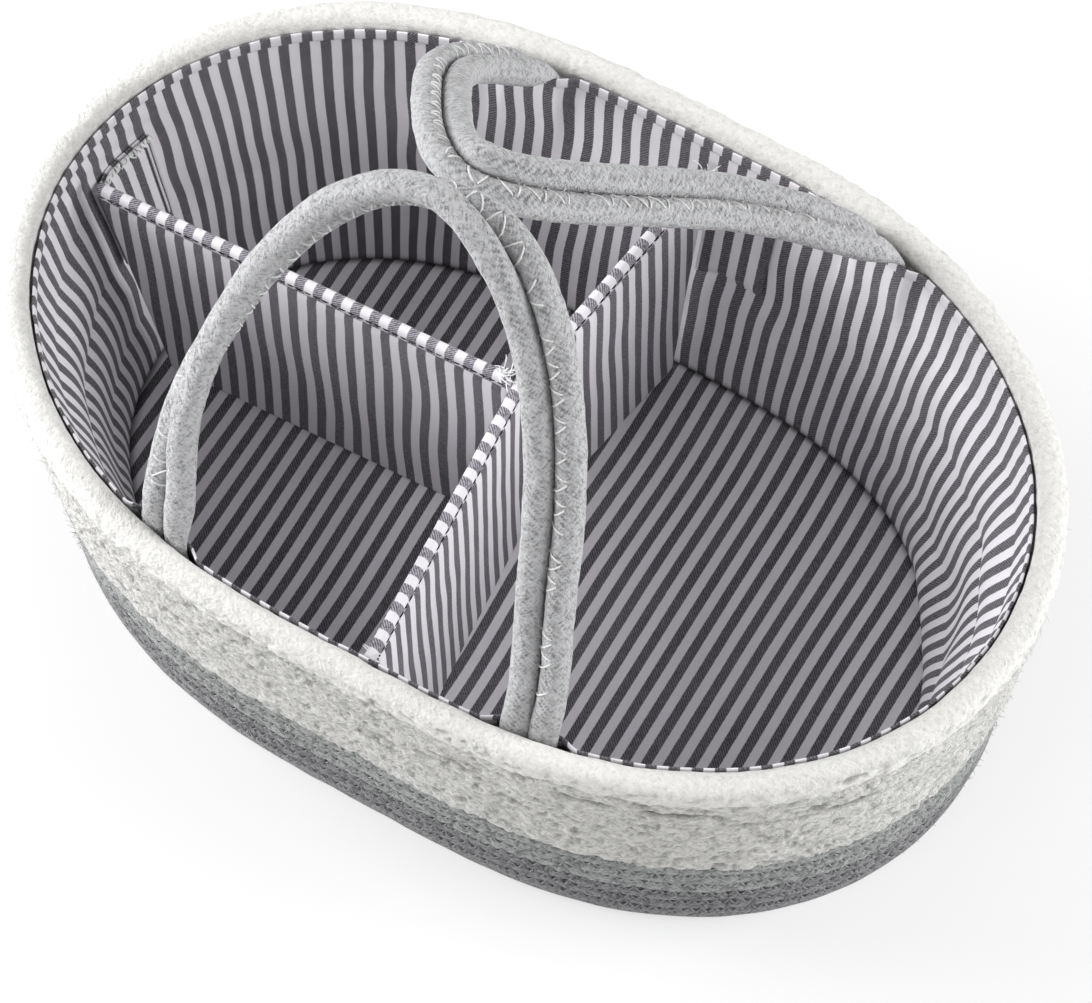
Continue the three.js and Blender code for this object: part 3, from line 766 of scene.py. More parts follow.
def stitch_pits(share, level, run, out, up, pitch, seed):
    """Dents at the tips of the zigzag stitches above and below a course."""
    stitches = stitch_count(pitch)
    step = TURN_LENGTH / stitches
    hollow_and_shade = np.zeros((len(share), len(up)))
    for side in (1, -1):
        join = level if side > 0 else level - 1
        phase = join_phase(join) + (0.5 if side > 0 else 0.0)
        wander = 0.45 * soft_noise(run / 5.0, join * 1.7, seed + 3)
        off = (np.mod(share * stitches - phase + wander + 0.5, 1.0) - 0.5) * step
        row_up = TIP_UP + 1.0 * soft_noise(run / 4.0, join * 2.3, seed + 4)
        row = bump(side * up[None], row_up[:, None], 0.8) * (out > 0)[None]
        strength = 0.2 + 1.0 * smoothstep(soft_noise(run / 5.0, join * 3.1, seed + 7), -0.7, 0.5)
        hollow_and_shade = np.maximum(hollow_and_shade, (bump(off, 0.0, 0.8) * strength)[:, None] * row)
    strewn = soft_noise(run[:, None] / 1.7, up[None] / 1.5 + 9.0 * level[:, None], seed + 8)
    hollow_and_shade = np.maximum(hollow_and_shade, 0.75 * smoothstep(strewn, 0.3, 0.85) * (out > 0)[None])
    return np.clip(hollow_and_shade, 0, 1)


def surface_of(obj, cols):
    """Points of a grid object, row by row, in millimetres."""
    flat = np.empty(3 * len(obj.data.vertices))
    obj.data.vertices.foreach_get("co", flat)
    return flat.reshape(-1, cols, 3) / MM


def fuzz_object(name, points, count, length, radius, seed):
    """Stray fibres that lie on a grid of surface points and lift off at one end."""
    rows, cols = points.shape[:2]
    number = np.arange(count)
    row = 1 + (scatter(number, 1.0, seed) * (rows - 2)).astype(int)
    col = 1 + (scatter(number, 2.0, seed) * (cols - 2)).astype(int)
    here = points[row, col]
    along = points[row + 1, col] - points[row - 1, col]
    across = points[row, col + 1] - points[row, col - 1]
    out = np.cross(along, across)
    inside = points[row].mean(1)
    out *= np.sign(((here - inside) * out).sum(1, keepdims=True))
    along, across, out = unit(along), unit(across), unit(out)
    heading = TAU * scatter(number, 3.0, seed)[:, None]
    lay = along * np.cos(heading) + across * np.sin(heading)
    bent = along * np.cos(heading + 1.3) + across * np.sin(heading + 1.3)
    reach = length * (0.5 + scatter(number, 4.0, seed))[:, None, None]
    steps = np.linspace(0, 1, 4)[None, :, None]
    strokes = here[:, None] + reach * (lay[:, None] * steps + 0.4 * bent[:, None] * steps ** 2)
    strokes = strokes + out[:, None] * (0.45 * reach * steps ** 1.4 - 0.1)
    return thread_object(name, strokes, radius, 3)


def zigzag(join, pitch, width, sink):
    """Strokes of the thread that sews two courses together."""
    stitches = stitch_count(pitch)
    number = np.arange(2 * stitches) / 2
    side = np.where(np.arange(2 * stitches) % 2 == 0, 1.0, -1.0)
    steps = np.array([0.0, 0.12, 0.35, 0.65, 0.88, 1.0])
    bulge = np.array([-1.1, 0.1, 0.34, 0.34, 0.1, -1.1])
    share = (number[:, None] + join_phase(join) + 0.5 * steps[None]) / stitches
    wander = 0.7 * soft_noise(number[:, None] * 0.9, join + 0.5, 8)
    reach = STITCH_REACH * (0.75 + 0.35 * scatter(number, join, 9.0))[:, None]
    base = course_height(np.mod(share, 1.0) + join) if 0 < join < RIM_LEVEL - 1 else level_z(join)
    height = base + COURSE_PITCH / 2 + side[:, None] * reach * (1 - 2 * steps[None]) + wander
    out = width * 0.93 + bulge[None] - sink
    plan = around(share, wall_radius(height)) + outward(share) * out[..., None]
    return lifted(plan, height)[gape_at(join, share[:, 2]) < 0.2]


class CADDY_OT_base(bpy.types.Operator):
    """Coil the base from one rope."""

    bl_idname = "caddy.base"
    bl_label = "Base coil"

    def execute(self, context):
        ropes = context.scene.caddy_ropes
        path, size = base_path(2.2)
        normal = np.cross(unit(np.gradient(path, axis=0)), [0, 0, 1.0])
        angle = np.linspace(0, TAU, 19)[:-1]
        out, up = section_shape(angle, 5.3, 4.9, 2.4)
        up = np.maximum(up, -BASE_Z)
        run = run_along(path)
        arc = angle * ROPE_RADIUS
        swell = 0.16 * rope_noise(run, arc, 8, 5, 31) * (up > -BASE_Z + 0.05)
        points = rope_surface(path, normal, (out, up), swell)
        points = path[:, None] + (points - path[:, None]) * size[:, None, None]
        points[..., 2] = np.maximum(points[..., 2], 0.0)
        coords = cloth_grid(run[:, None], np.append(arc, TAU * ROPE_RADIUS))
        obj = closed_grid("base_coil_rope", points, coords)
        material = rope_material("dark grey rope", tuple(ropes.dark_grey), 0.15, 1.15, 1.3, 0.25)
        dress(obj, material, "dark_grey_rope", "basket", "base_coil")
        return {"FINISHED"}


def base_path(spacing):
    """The base rope's axis from the core outwards, and its size along the way."""
    half = np.linspace(0, 1, 90) ** 3 * np.pi / 2
    points = [np.array([[-HALF_STRAIGHT, 0.0], [-HALF_STRAIGHT / 2, 0.0], [0.0, 0.0]])]
    for turn in range(BASE_TURNS):
        right = BASE_PITCH * (turn + 0.5)
        left = BASE_PITCH * (turn + 1)
        first = np.concatenate([1.5 * np.pi + half, 2.5 * np.pi - half[::-1]])
        ease = max(0.02, OVAL_EASE * (right / BASE_RADIUS) ** 2)
        arc = oval(first, right, ease, HALF_STRAIGHT + BASE_PITCH / 2)
        points.append(arc + np.array([0.0, BASE_PITCH / 2]))
        second = np.concatenate([0.5 * np.pi + half, 1.5 * np.pi - half[::-1]])
        ease = max(0.02, OVAL_EASE * (left / BASE_RADIUS) ** 2)
        points.append(oval(second, left, ease))
    tail_angle = np.linspace(0, np.radians(112), 80)
    plan = np.vstack(points)
    sizes = np.ones(len(plan))
    tail_size = 1 - 0.85 * smoothstep(tail_angle, 0.4, tail_angle[-1])
    tail_radius = BASE_RADIUS + ROPE_RADIUS * (1 - tail_size)
    tail = np.vstack([oval(np.array([1.5 * np.pi + a]), r) for a, r in zip(tail_angle, tail_radius)])
    plan = np.vstack([plan, tail])
    sizes = np.concatenate([sizes, tail_size])
    run = run_along(plan)
    even = np.linspace(0, run[-1], int(run[-1] / spacing))
    path = lifted(line_at(even, run, plan), np.full(len(even), BASE_Z))
    return path, np.interp(even, run, sizes)


class CADDY_OT_bands(bpy.types.Operator):
    """Wind the wall in three colours and sew its courses together."""

    bl_idname = "caddy.bands"
    bl_label = "Wall courses"

    def execute(self, context):
        ropes = context.scene.caddy_ropes
        pitch = ropes.stitch_pitch / MM
        thread = ropes.thread_thickness / MM / 2
        dark = bpy.data.materials["dark grey rope"]
        light = rope_material("light grey rope", tuple(ropes.light_grey), 0.1, 0.9, 1.1, 0.3)
        white = rope_material("felted white rope", tuple(ropes.off_white), 0.0, 0.5, 1.05, 0.45)
        lower = band_object("lower_band_rope", 1, 2, 0.85, (5.05, 0.06, 2.5), 0.38, "stitched", pitch, 41)
        dress(lower, dark, "dark_grey_rope", "basket", "lower_rope_band")
        middle = band_object("middle_band_rope", 3, 3, 0.85, (5.1, 0.06, 2.7), 0.36, "stitched", pitch, 51)
        dress(middle, light, "light_grey_rope", "basket", "middle_rope_band")
        upper = band_object("upper_band_rope", 6, 7, 0.95, (5.15, 0.5, 6.0), 0.5, "felted", pitch, 61)
        dress(upper, white, "white_rope", "basket", "upper_rope_band")
        sets = (
            ("lower_band", (0, 1, 2), 0.3, shade(tuple(ropes.dark_grey), 1.2), "dark_grey_rope", 2200),
            ("middle_band", (3, 4, 5), 0.42, shade(tuple(ropes.light_grey), 1.1), "light_grey_rope", 2600),
            ("upper_band", (), 0.0, tuple(ropes.off_white), "white_rope", 3600),
        )
        for name, joins, sink, color, slot, hairs in sets:
            cotton = thread_material(name.replace("_", " ") + " thread", color)
            if joins:
                strokes = np.concatenate([zigzag(join, pitch, 5.1, sink) for join in joins])
                dress(thread_object(f"{name}_thread", strokes, thread), cotton, slot, "basket")
            surface = surface_of(bpy.data.objects[f"{name}_rope"], SECTION_OUTER + SECTION_INNER)
            shown = surface[:, 1:SECTION_OUTER - 1]
            fuzz = fuzz_object(f"{name}_fuzz", shown, hairs, 2.4, 0.09, 71 + hairs)
            dress(fuzz, cotton, slot, "basket")
        return {"FINISHED"}


class CADDY_OT_rim(bpy.types.Operator):
    """Lay the smooth felted cord that closes the wall."""

    bl_idname = "caddy.rim"
    bl_label = "Rim rope"

    def execute(self, context):
        ropes = context.scene.caddy_ropes
        share = np.arange(RING_STEPS) / RING_STEPS
        path = lifted(around(share, RIM_RADIUS), np.full(RING_STEPS, RIM_Z))
        normal = lifted(outward(share), np.zeros(RING_STEPS))
        angle = np.linspace(0, TAU, 33)[:-1]
        top = section_shape(angle, 5.1, 4.75, 2.2)
        skirt = section_shape(angle, 5.1, 6.0, 6.0)
        shape = [np.where(np.sin(angle) >= 0, high, low) for high, low in zip(top, skirt)]
        arc = angle * ROPE_RADIUS
        felted = smoothstep(np.cos(angle + 0.34), 0.3, 0.9)[None]
        # The felt pits on the rim's outer lower side are dented and darkened with painted shade through
        # hollow_and_shade.
        hollow_and_shade = felt_pits(share * TURN_LENGTH, arc, 73) * felted
        coarse = soft_noise(share[:, None] * 96, arc[None] / 6, 71, wrap=96)
        fine = soft_noise(share[:, None] * 316, arc[None] / 2.5, 72, wrap=316)
        swell = 0.28 * coarse + (0.12 + 0.4 * felted) * fine - PIT_DEPTH * hollow_and_shade
        points = rope_surface(path, normal, shape, swell)
        run = np.append(share, 1.0) * TURN_LENGTH
        coords = cloth_grid(run[:, None], np.append(arc, TAU * ROPE_RADIUS))
        obj = closed_grid("rim_rope_cord", points, coords, ring=True, hollow_and_shade=hollow_and_shade)
        color = shade(tuple(ropes.off_white), 1.1)
        material = rope_material("felted rim rope", color, 0.0, 0.25, 0.48, 0.55)
        dress(obj, material, "white_rope", "basket", "rim_rope")
        return {"FINISHED"}


# Lining

WALL_STRIPES = 128  # stripe periods round the sleeve
FLOOR_STRIPES = 1.04  # how much narrower the floor's stripes are
LINING_LOW = 10.3
LINING_TOP = 131.4
HEM_Z = 129.0
LINING_SET = 6.1  # from the rope's axis to the cloth
LINING_TAPER = 11.5  # how much further the sleeve stands in at the floor
HUG_Z = 114.9  # above this height it lies on the rope
FLOOR_Z = 10.15


def taper(z):
    """How far the sleeve stands off the rope at a height."""
    return LINING_TAPER * (1 - np.clip((z - FLOOR_Z) / (HUG_Z - FLOOR_Z), 0, 1))


def pocket(share, z):
    """How far the lining stands in over the sewn-in handle ends."""
    plan = around(share, wall_radius(z) - LINING_SET)
    column = np.zeros(plan.shape[:-1])
    for side, shift, *_ in HANDLES.values():
        for foot in (shift - HANDLE_HALF_SPAN, shift + HANDLE_HALF_SPAN):
            beside = np.where(plan[..., 1] * side > 0, np.abs(plan[..., 0] - foot), np.inf)
            column = np.maximum(column, 1 - smoothstep(beside, 9.5, 17.0))
    need = np.clip(FOOT_SET + FOOT_HALF_THICKNESS + 0.4 - LINING_SET - taper(z), 0, None)
    height = smoothstep(z, FOOT_LOW_Z - 28.0, FOOT_LOW_Z - 2.0)
    return need * column * height


def end_loose(share):
    """1 at the +X end, where the cloth is loosest, falling to 0 along the sides."""
    return bump(np.mod(share, 1.0), 0.75, 0.11)


SAG = 7.0  # how far the cloth at the open end sags over the floor seam


def creases(share, z):
    """Level folds of the slack sleeve: round bellies with sharp valleys between them."""
    run = share * TURN_LENGTH
    drift = 11.0 * soft_noise(run / 61.25, 0.5, 83, wrap=16)
    drift = drift + 5.0 * soft_noise(run / 24.5, 1.5, 84, wrap=40)
    size = 0.45 + 0.55 * smoothstep(soft_noise(run / 35.0, z / 40.0, 88, wrap=28), -0.5, 0.4)
    return size * np.abs(np.sin(np.pi * (z + drift) / 34.0)) ** 0.75


def held_flat(share, z):
    """Where the tabs hold the lining flat against the wall, 0 to 1."""
    total = np.zeros(np.broadcast(share, z).shape)
    for end in TABS:
        low, high = node_box(f"{end}_tab")
        first, last = tab_shares(end, (low, high))
        half = abs(last - first) / 2 * TURN_LENGTH
        off = np.abs(np.mod(share - (first + last) / 2 + 0.5, 1.0) - 0.5) * TURN_LENGTH
        across = 1 - smoothstep(off, half + 2.0, half + 16.0)
        up = smoothstep(z, low[2] - 14.0, low[2] - 2.0) * (1 - smoothstep(z, high[2] + 2.0, high[2] + 12.0))
        total = np.maximum(total, across * up)
    return total


def lining_set(share, z, cloth):
    """Distance from the rope's axis in to the lining's face."""
    run = share * TURN_LENGTH
    wrinkle = cloth.wrinkle_depth / MM
    fold = cloth.fold_depth / MM
    part = (z - LINING_LOW) / (LINING_TOP - LINING_LOW)
    belly = np.sin(np.pi * np.clip(part, 0, 1))
    small = 0.5 + 0.5 * soft_noise(run / 15.0, z / 42.0 + 0.06 * run / 15.0, 81, wrap=66)
    wide = 0.5 + 0.5 * soft_noise(run / 38.0, z / 60.0, 82, wrap=26)
    loose = end_loose(share) + 0.35 * bump(np.mod(share, 1.0), 0.27, 0.09)
    lower = bump(part, 0.1, 0.09)
    depth = wrinkle * (0.35 + belly) * (0.8 * small + 0.7 * wide)
    depth = depth + fold * (0.08 + loose) * belly * creases(share, z)
    depth = depth + 0.8 * lower + SAG * bump(np.mod(share, 1.0), 0.805, 0.045) * bump(z, 24.0, 17.0)
    hem = smoothstep(part, 0.97, 0.9)
    free = hem * (1 - 0.85 * held_flat(share, z))
    return LINING_SET + taper(z) + depth * free + pocket(share, z)


def stripe_shift(share, z):
    """How far the stripes have been pulled sideways."""
    run = share * TURN_LENGTH
    loose = end_loose(share)
    part = np.clip((z - LINING_LOW) / (LINING_TOP - LINING_LOW), 0, 1)
    free = np.sin(np.pi * part)
    gentle = 1.7 * soft_noise(run / 46.0, z / 34.0, 84) + 0.8 * soft_noise(run / 17.0, z / 17.0, 85)
    pulled = 2.6 * np.sin(z / 17.0 + 1.2 * soft_noise(run / 30.0, 0.5, 86)) * loose
    return free * (gentle + pulled)


def stripe_run(share, z, cloth):
    """Cloth coordinate along the sleeve, from shares of a turn."""
    return share * WALL_STRIPES * cloth.stripe_period / MM + stripe_shift(np.mod(share, 1.0), z)


class CADDY_OT_lining(bpy.types.Operator):
    """Hang the striped sleeve, sew its hem and lay the floor."""

    bl_idname = "caddy.lining"
    bl_label = "Lining"

    def execute(self, context):
        cloth = context.scene.caddy_cloth
        striped = striped_cotton("striped cotton", cloth)
        wall = self.wall(cloth)
        dress(wall, striped, "striped_cotton", "basket", "lining_wall")
        hem = self.hem(cloth)
        offset_cotton = striped_cotton("striped cotton hem", cloth, 0.16)
        dress(hem, offset_cotton, "striped_cotton", "basket", "lining_binding")
        floor = self.floor()
        dress(floor, striped, "striped_cotton", "basket", "lining_floor")
        return {"FINISHED"}

    def wall(self, cloth):
        share = (np.arange(RING_STEPS) / RING_STEPS)[:, None]
        z = np.linspace(LINING_LOW, LINING_TOP, 72)[None]
        share, z = np.broadcast_arrays(share, z)
        points = inside_wall(share, z, lining_set(share, z, cloth))
        ends = np.vstack([share, np.ones((1, share.shape[1]))])
        heights = np.vstack([z, z[:1]])
        coords = cloth_grid(stripe_run(ends, heights, cloth), heights)
        # Painted shade along the sleeve's lower edge, in the fold where it meets the floor.
        hollow_and_shade = bump(z, LINING_LOW, 1.6)
        return grid_object("lining_wall_cloth", points, coords, loop_rows=True, hollow_and_shade=hollow_and_shade)

    def hem(self, cloth):
        share = (np.arange(RING_STEPS) / RING_STEPS)[:, None]
        profile = np.array([
            [0.1, 127.6], [0.5, 127.3], [0.85, 127.6], [0.95, 128.8], [0.9, 130.6],
            [0.75, 131.8], [0.4, 132.2], [0.0, 131.9], [-0.25, 130.5], [-0.15, 128.6],
        ])
        inwards = profile[None, :, 0]
        z = profile[None, :, 1]
        share, z = np.broadcast_arrays(share, z)
        ripple = 0.25 * soft_noise(share * 120, 0.5, 87, wrap=120)
        inset = lining_set(share, np.full_like(z, HEM_Z), cloth) + inwards + ripple
        points = inside_wall(share, z, inset)
        ends = np.append(share[:, 0], 1.0)[:, None]
        along = stripe_run(ends, np.full_like(ends, HEM_Z), cloth)
        coords = cloth_grid(along, np.append(profile[:, 1], profile[0, 1]))
        return closed_grid("lining_hem_cloth", points, coords, ring=True)

    def floor(self):
        count = 420
        share = (np.arange(count) / count)[:, None]
        scale = np.concatenate([np.linspace(0.02, 0.94, 56), np.linspace(0.95, 1.0, 7)])[None]
        share, scale = np.broadcast_arrays(share, scale)
        edge = around(share, wall_radius(FLOOR_Z) - LINING_SET - LINING_TAPER - 0.25)
        plan = edge * scale[..., None]
        puff = 0.55 * soft_noise(plan[..., 0] / 34.0, plan[..., 1] / 46.0, 91)
        puff = puff + 0.25 * soft_noise(plan[..., 0] / 13.0, plan[..., 1] / 21.0, 92)
        rounded = smoothstep(scale, 1.0, 0.965)
        points = lifted(plan, FLOOR_Z - 0.5 + (0.75 + puff) * rounded)
        shift = 1.5 * soft_noise(plan[..., 0] / 70.0, plan[..., 1] / 55.0, 93)
        along = plan[..., 0] * FLOOR_STRIPES + shift
        coords = np.stack([along, plan[..., 1]], -1)
        coords = np.vstack([coords, coords[:1]])
        # Painted shade along the floor's rounded edge, in the seam with the sleeve.
        hollow_and_shade = 1 - smoothstep(scale, 1.0, 0.975)
        return grid_object("lining_floor_cloth", points, coords, loop_rows=True, hollow_and_shade=hollow_and_shade)


# Divider


def node_box(name):
    """Lowest and highest corner of a solid, in millimetres."""
    low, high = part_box(name)
    return np.array(low) / MM, np.array(high) / MM


STITCH_UP = 2.3  # from the edging's lower edge to its topstitch
STITCH_PITCH = 3.4
STITCH_LENGTH = 2.7
EDGE_ROUND = 3.0  # rounding of a panel's ends and edges
BEND_ROUND = 2.5  # rounding of the cross panel where the short panel meets it


def cross_place(along, side, start, stop):
    """Plan of the cross panel: along is Y, side is towards +X. The short panel draws it out of line."""
    rear = along > SHORT_RIGHT_Y
    away = np.hypot(along - SHORT_RIGHT_Y, BEND_ROUND) - BEND_ROUND
    reach = np.where(rear, stop - SHORT_RIGHT_Y, SHORT_RIGHT_Y - start) - BEND_ROUND
    end_x = np.where(rear, CROSS_REAR_X, CROSS_FRONT_X)
    return np.stack([CROSS_BEND_X + (end_x - CROSS_BEND_X) * away / reach + side, along], -1)


def short_place(along, side, start, stop):
    """Plan of the short panel: along is X, side is towards -Y."""
    part = (along - start) / (stop - start)
    return np.stack([along, SHORT_LEFT_Y + (SHORT_RIGHT_Y - SHORT_LEFT_Y) * part - side], -1)


def panel_object(name, place, ends_low, ends_high, low, high, half, seed):
    """A padded panel. place(run, side) gives X and Y; the ends move out with height."""
    cols = 150
    rows = 64
    top = np.linspace(0, 1, rows)
    lift = 0.5 - 0.5 * np.cos(np.pi * top)
    part = 0.35 * top + 0.65 * lift
    z = low + (high - low) * part
    loop = np.linspace(0, TAU, 2 * cols + 1)[:-1]
    run = 0.5 - 0.5 * np.sign(np.cos(loop)) * np.abs(np.cos(loop)) ** 0.55
    facing = np.where(np.sin(loop) >= 0, 1.0, -1.0)
    run, z_grid = np.broadcast_arrays(run[None], z[:, None])
    facing = np.broadcast_to(facing[None], run.shape)
    start = ends_low[0] + (ends_high[0] - ends_low[0]) * part[:, None]
    stop = ends_low[1] + (ends_high[1] - ends_low[1]) * part[:, None]
    along = start + (stop - start) * run
    length = stop - start
    from_end = np.minimum(run, 1 - run) * length
    from_edge = np.minimum(z_grid - low, high - z_grid)
    round_end, round_edge = (
        np.sqrt(np.clip(1 - (1 - np.clip(gap / EDGE_ROUND, 0, 1)) ** 2, 0, 1))
        for gap in (from_end, from_edge)
    )
    quilted = 0.28 * soft_noise(along / 24.0, z_grid / 38.0, seed + 0.5 * (facing > 0))
    fine = 0.12 * soft_noise(along / 9.0, z_grid / 15.0, seed + 7)
    under_edging = 0.3 * smoothstep(z_grid, high - 9.0, high - 5.0)
    thick = (half + 0.15 + quilted + fine) * round_end * round_edge * (1 - under_edging)
    points = lifted(place(along, facing * thick, start, stop), z_grid)
    shift = 0.9 * soft_noise(along / 40.0, z_grid / 40.0, seed + 11)
    shift = shift + 0.35 * soft_noise(along / 14.0, z_grid / 18.0, seed + 12)
    coords = cloth_grid(along + shift, z_grid)
    coords = np.concatenate([coords, coords[:, :1]], 1)
    return closed_grid(name, points, coords)


def edging_object(name, place, run, half, low, roof, seed):
    """A folded strip over a panel's top edge, following the run of plan positions."""
    profile = np.array([
        [-1.0, 0.0], [-1.06, 0.3], [-1.04, 0.62], [-0.86, 0.88], [-0.45, 1.0], [0.0, 1.02],
        [0.45, 1.0], [0.86, 0.88], [1.04, 0.62], [1.06, 0.3], [1.0, 0.0],
        [0.8, 0.02], [0.82, 0.5], [0.5, 0.82], [0.0, 0.9], [-0.5, 0.82], [-0.82, 0.5], [-0.8, 0.02],
    ])
    ripple = 0.12 * soft_noise(run[:, None] / 6.0, np.arange(len(profile))[None] / 4.0, seed)
    side = profile[None, :, 0] * half + ripple
    z = low + (roof - low) * profile[None, :, 1] + 0.6 * ripple
    along = np.broadcast_to(run[:, None], side.shape)
    z = np.broadcast_to(z, side.shape)
    points = lifted(place(along, side, run[0], run[-1]), z)
    corners = np.vstack([profile * [half, roof - low], profile[:1]])
    girth = np.append(np.cumsum(np.hypot(*np.diff(corners, axis=0).T)), 0)
    return closed_grid(name, points, cloth_grid(run[:, None], girth))


def topstitch(place, run, half, z):
    """Short dark stitches at one height on both faces of a strip."""
    starts = np.arange(run[0] + 1.5, run[-1] - 1.5, STITCH_PITCH)
    steps = np.linspace(0, 1, 5)
    along = starts[:, None] + steps[None] * STITCH_LENGTH
    strokes = []
    for facing in (1.0, -1.0):
        lift = half * 1.08 + 0.22 * np.sin(np.pi * steps) - 0.12
        plan = place(along, np.broadcast_to(facing * lift[None], along.shape), run[0], run[-1])
        strokes.append(lifted(plan, np.full(along.shape, z)))
    return np.concatenate(strokes)


# Each panel: its plan, the axis that it runs along, how far its plan strays across that axis, the far end's
# gap and share of the slope, the far gap of its edging, its seed and the flat length of its edging.
PANELS = {
    "cross": (cross_place, 1, CROSS_REAR_X - CROSS_BEND_X, 0.2, 1, 0.1, 101, 0.224),
    "short": (short_place, 0, SHORT_RIGHT_Y - SHORT_LEFT_Y, 0.0, 0, 0.05, 121, 0.175),
}


class CADDY_OT_divider(bpy.types.Operator):
    """Sew the two padded panels of the divider, their edging and topstitch."""

    bl_idname = "caddy.divider"
    bl_label = "Divider"

    def execute(self, context):
        cloth = context.scene.caddy_cloth
        # The divider's cloth and its top edging get lighter copies of the grey stripe, painted light for
        # their lit faces and upward top edge.
        cotton = striped_cotton("striped cotton divider", cloth, 0.0, 1.15)
        edging = striped_cotton("striped cotton edging", cloth, 0.5, 2.5)
        black = thread_material("black topstitch", srgb(28, 28, 30))
        board = board_material("stiff board", srgb(226, 224, 214))
        low, high = node_box("cross_divider_cover")
        bottom, top = low[2] + 0.1, high[2]
        slope = END_SLOPE * (top - bottom)
        stitches = []
        for name, (place, axis, stray, far_gap, far_slope, strip_gap, seed, flat) in PANELS.items():
            solid = bpy.data.objects[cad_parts[f"{name}_divider_board"].name]
            solid.data.materials.clear()
            solid.data.materials.append(board)
            low, high = node_box(f"{name}_divider_cover")
            half = (high[1 - axis] - low[1 - axis] - stray) / 2
            ends_high = (low[axis] + 0.2, high[axis] - far_gap)
            ends_low = (ends_high[0] + slope, ends_high[1] - slope * far_slope)
            cover_name = f"{name}_divider_cloth"
            cover = panel_object(cover_name, place, ends_low, ends_high, bottom, top, half, seed)
            dress(cover, cotton, "striped_cotton", "divider", f"{name}_divider_cover")
            low, high = node_box(f"{name}_divider_binding")
            run = np.arange(low[axis] + 0.1, high[axis] - strip_gap, 1.1)
            half = (high[1 - axis] - low[1 - axis] - stray) / 2 - 0.7
            edge_name = f"{name}_divider_edging"
            strip = edging_object(edge_name, place, run, half, low[2], high[2], seed + 10)
            dress(strip, edging, "striped_cotton", "divider", f"{name}_divider_binding")
            stitches.append(topstitch(place, run, half, low[2] + STITCH_UP))
        thread = thread_object("divider_topstitch", np.concatenate(stitches), 0.3)
        dress(thread, black, "striped_cotton", "divider")
        return {"FINISHED"}


# Tabs

TABS = ("left", "rear", "front")
TAB_SET = 9.4  # from the rope's axis to the tab's middle
HOOK_SET = 8.35
LOOP_SET = 7.3


def tuft(middle, spread, count, length, seed):
    """Cut thread ends that stand about a seam."""
    number = np.arange(count)
    roll = [scatter(number, k + 1.0, seed)[:, None] for k in range(6)]
    start = np.asarray(middle) + np.asarray(spread) * (2 * np.hstack(roll[:3]) - 1)
    heading = TAU * roll[3]
    lay = np.hstack([np.cos(heading), np.sin(heading), 0.25 + 0.9 * roll[4]])
    bent = np.hstack([-np.sin(heading), np.cos(heading), np.full_like(heading, -0.9)])
    steps = np.linspace(0, 1, 6)[None, :, None]
    reach = length * (0.45 + roll[5])[:, :, None]
    return start[:, None] + reach * (lay[:, None] * steps + 0.55 * bent[:, None] * steps ** 2)


def fringe(edge, inward, into, count, length, seed):
    """Overcast threads along a cut edge: inward points off the wall, into points onto the patch."""
    number = np.arange(count)
    place = np.linspace(0, len(edge) - 1, count)
    start = line_at(place, np.arange(len(edge)), edge)
    along = unit(np.gradient(start, axis=0))
    skew = (2 * scatter(number, 1.0, seed) - 1)[:, None, None]
    reach = length * (0.4 + scatter(number, 2.0, seed))[:, None, None]
    steps = np.linspace(0, 1, 6)[None, :, None]
    lift = 0.35 + 0.9 * np.sin(np.pi * steps) * scatter(number, 3.0, seed)[:, None, None]
    strokes = start[:, None] + reach * steps * (np.asarray(into) + skew * along[:, None])
    return strokes + np.asarray(inward) * lift


def tab_shares(end, box):
    """Shares of a turn at the tab's sewn edge and at its free edge."""
    low, high = box
    if end == "left":
        shares = np.linspace(0.15, 0.35, 2001)
        across = around(shares, MEAN_RADIUS - TAB_SET - taper((low[2] + high[2]) / 2))[:, 1]
        return tuple(float(np.interp(-y, -across, shares)) for y in (low[1], high[1]))
    side = 1 if end == "rear" else -1
    return share_at(side, low[0] + 0.2), share_at(side, high[0])


def wall_patch(name, shares, heights, inset, thickness, curl, grid, seed):
    """A thin closed patch that lies along the lining; grid is its columns and rows."""
    low, high = heights
    cols, rows = grid
    across = np.linspace(0, 1, cols)[None]
    up = np.linspace(0, 1, rows)[:, None]
    across, up = np.broadcast_arrays(across, up)
    share = shares[0] + (shares[1] - shares[0]) * across
    z = low + (high - low) * up
    edge = np.minimum(np.minimum(up, 1 - up) * (high - low), (1 - across) * 25.0)
    settle = curl * (1 - smoothstep(edge, 0.0, 5.0)) * smoothstep(across, 0.0, 0.35)
    wave = 0.25 * soft_noise(across * 3, up * 4, seed)
    layers = []
    for face in (-0.5, 0.5):
        depth = inset + taper(z) - settle + wave * (thickness < 1.5) + face * thickness
        layers.append(inside_wall(share, z, depth))
    back, front = layers
    loop = [np.s_[0, :], np.s_[1:, -1], np.s_[-1, -2::-1], np.s_[-2:0:-1, 0]]
    count = cols * rows
    index = np.arange(count).reshape(rows, cols)
    rim = np.concatenate([index[part] for part in loop])
    sheet = np.stack([index[corner] for corner in QUAD], -1).reshape(-1, 4)
    side = np.stack([rim, rim + count, np.roll(rim, -1) + count, np.roll(rim, -1)], -1)
    faces = np.concatenate([sheet[:, ::-1], sheet + count, side])
    flat = np.stack([share * TURN_LENGTH, z], -1).reshape(-1, 2)
    flat = np.vstack([flat, flat])
    points = np.concatenate([back.reshape(-1, 3), front.reshape(-1, 3)])
    obj = link_mesh(name, points, faces.tolist(), flat[faces.ravel()])
    turn_faces_out(obj)
    return obj


TAB_GRID = (22, 34)
STRIP_GRID = (12, 22)


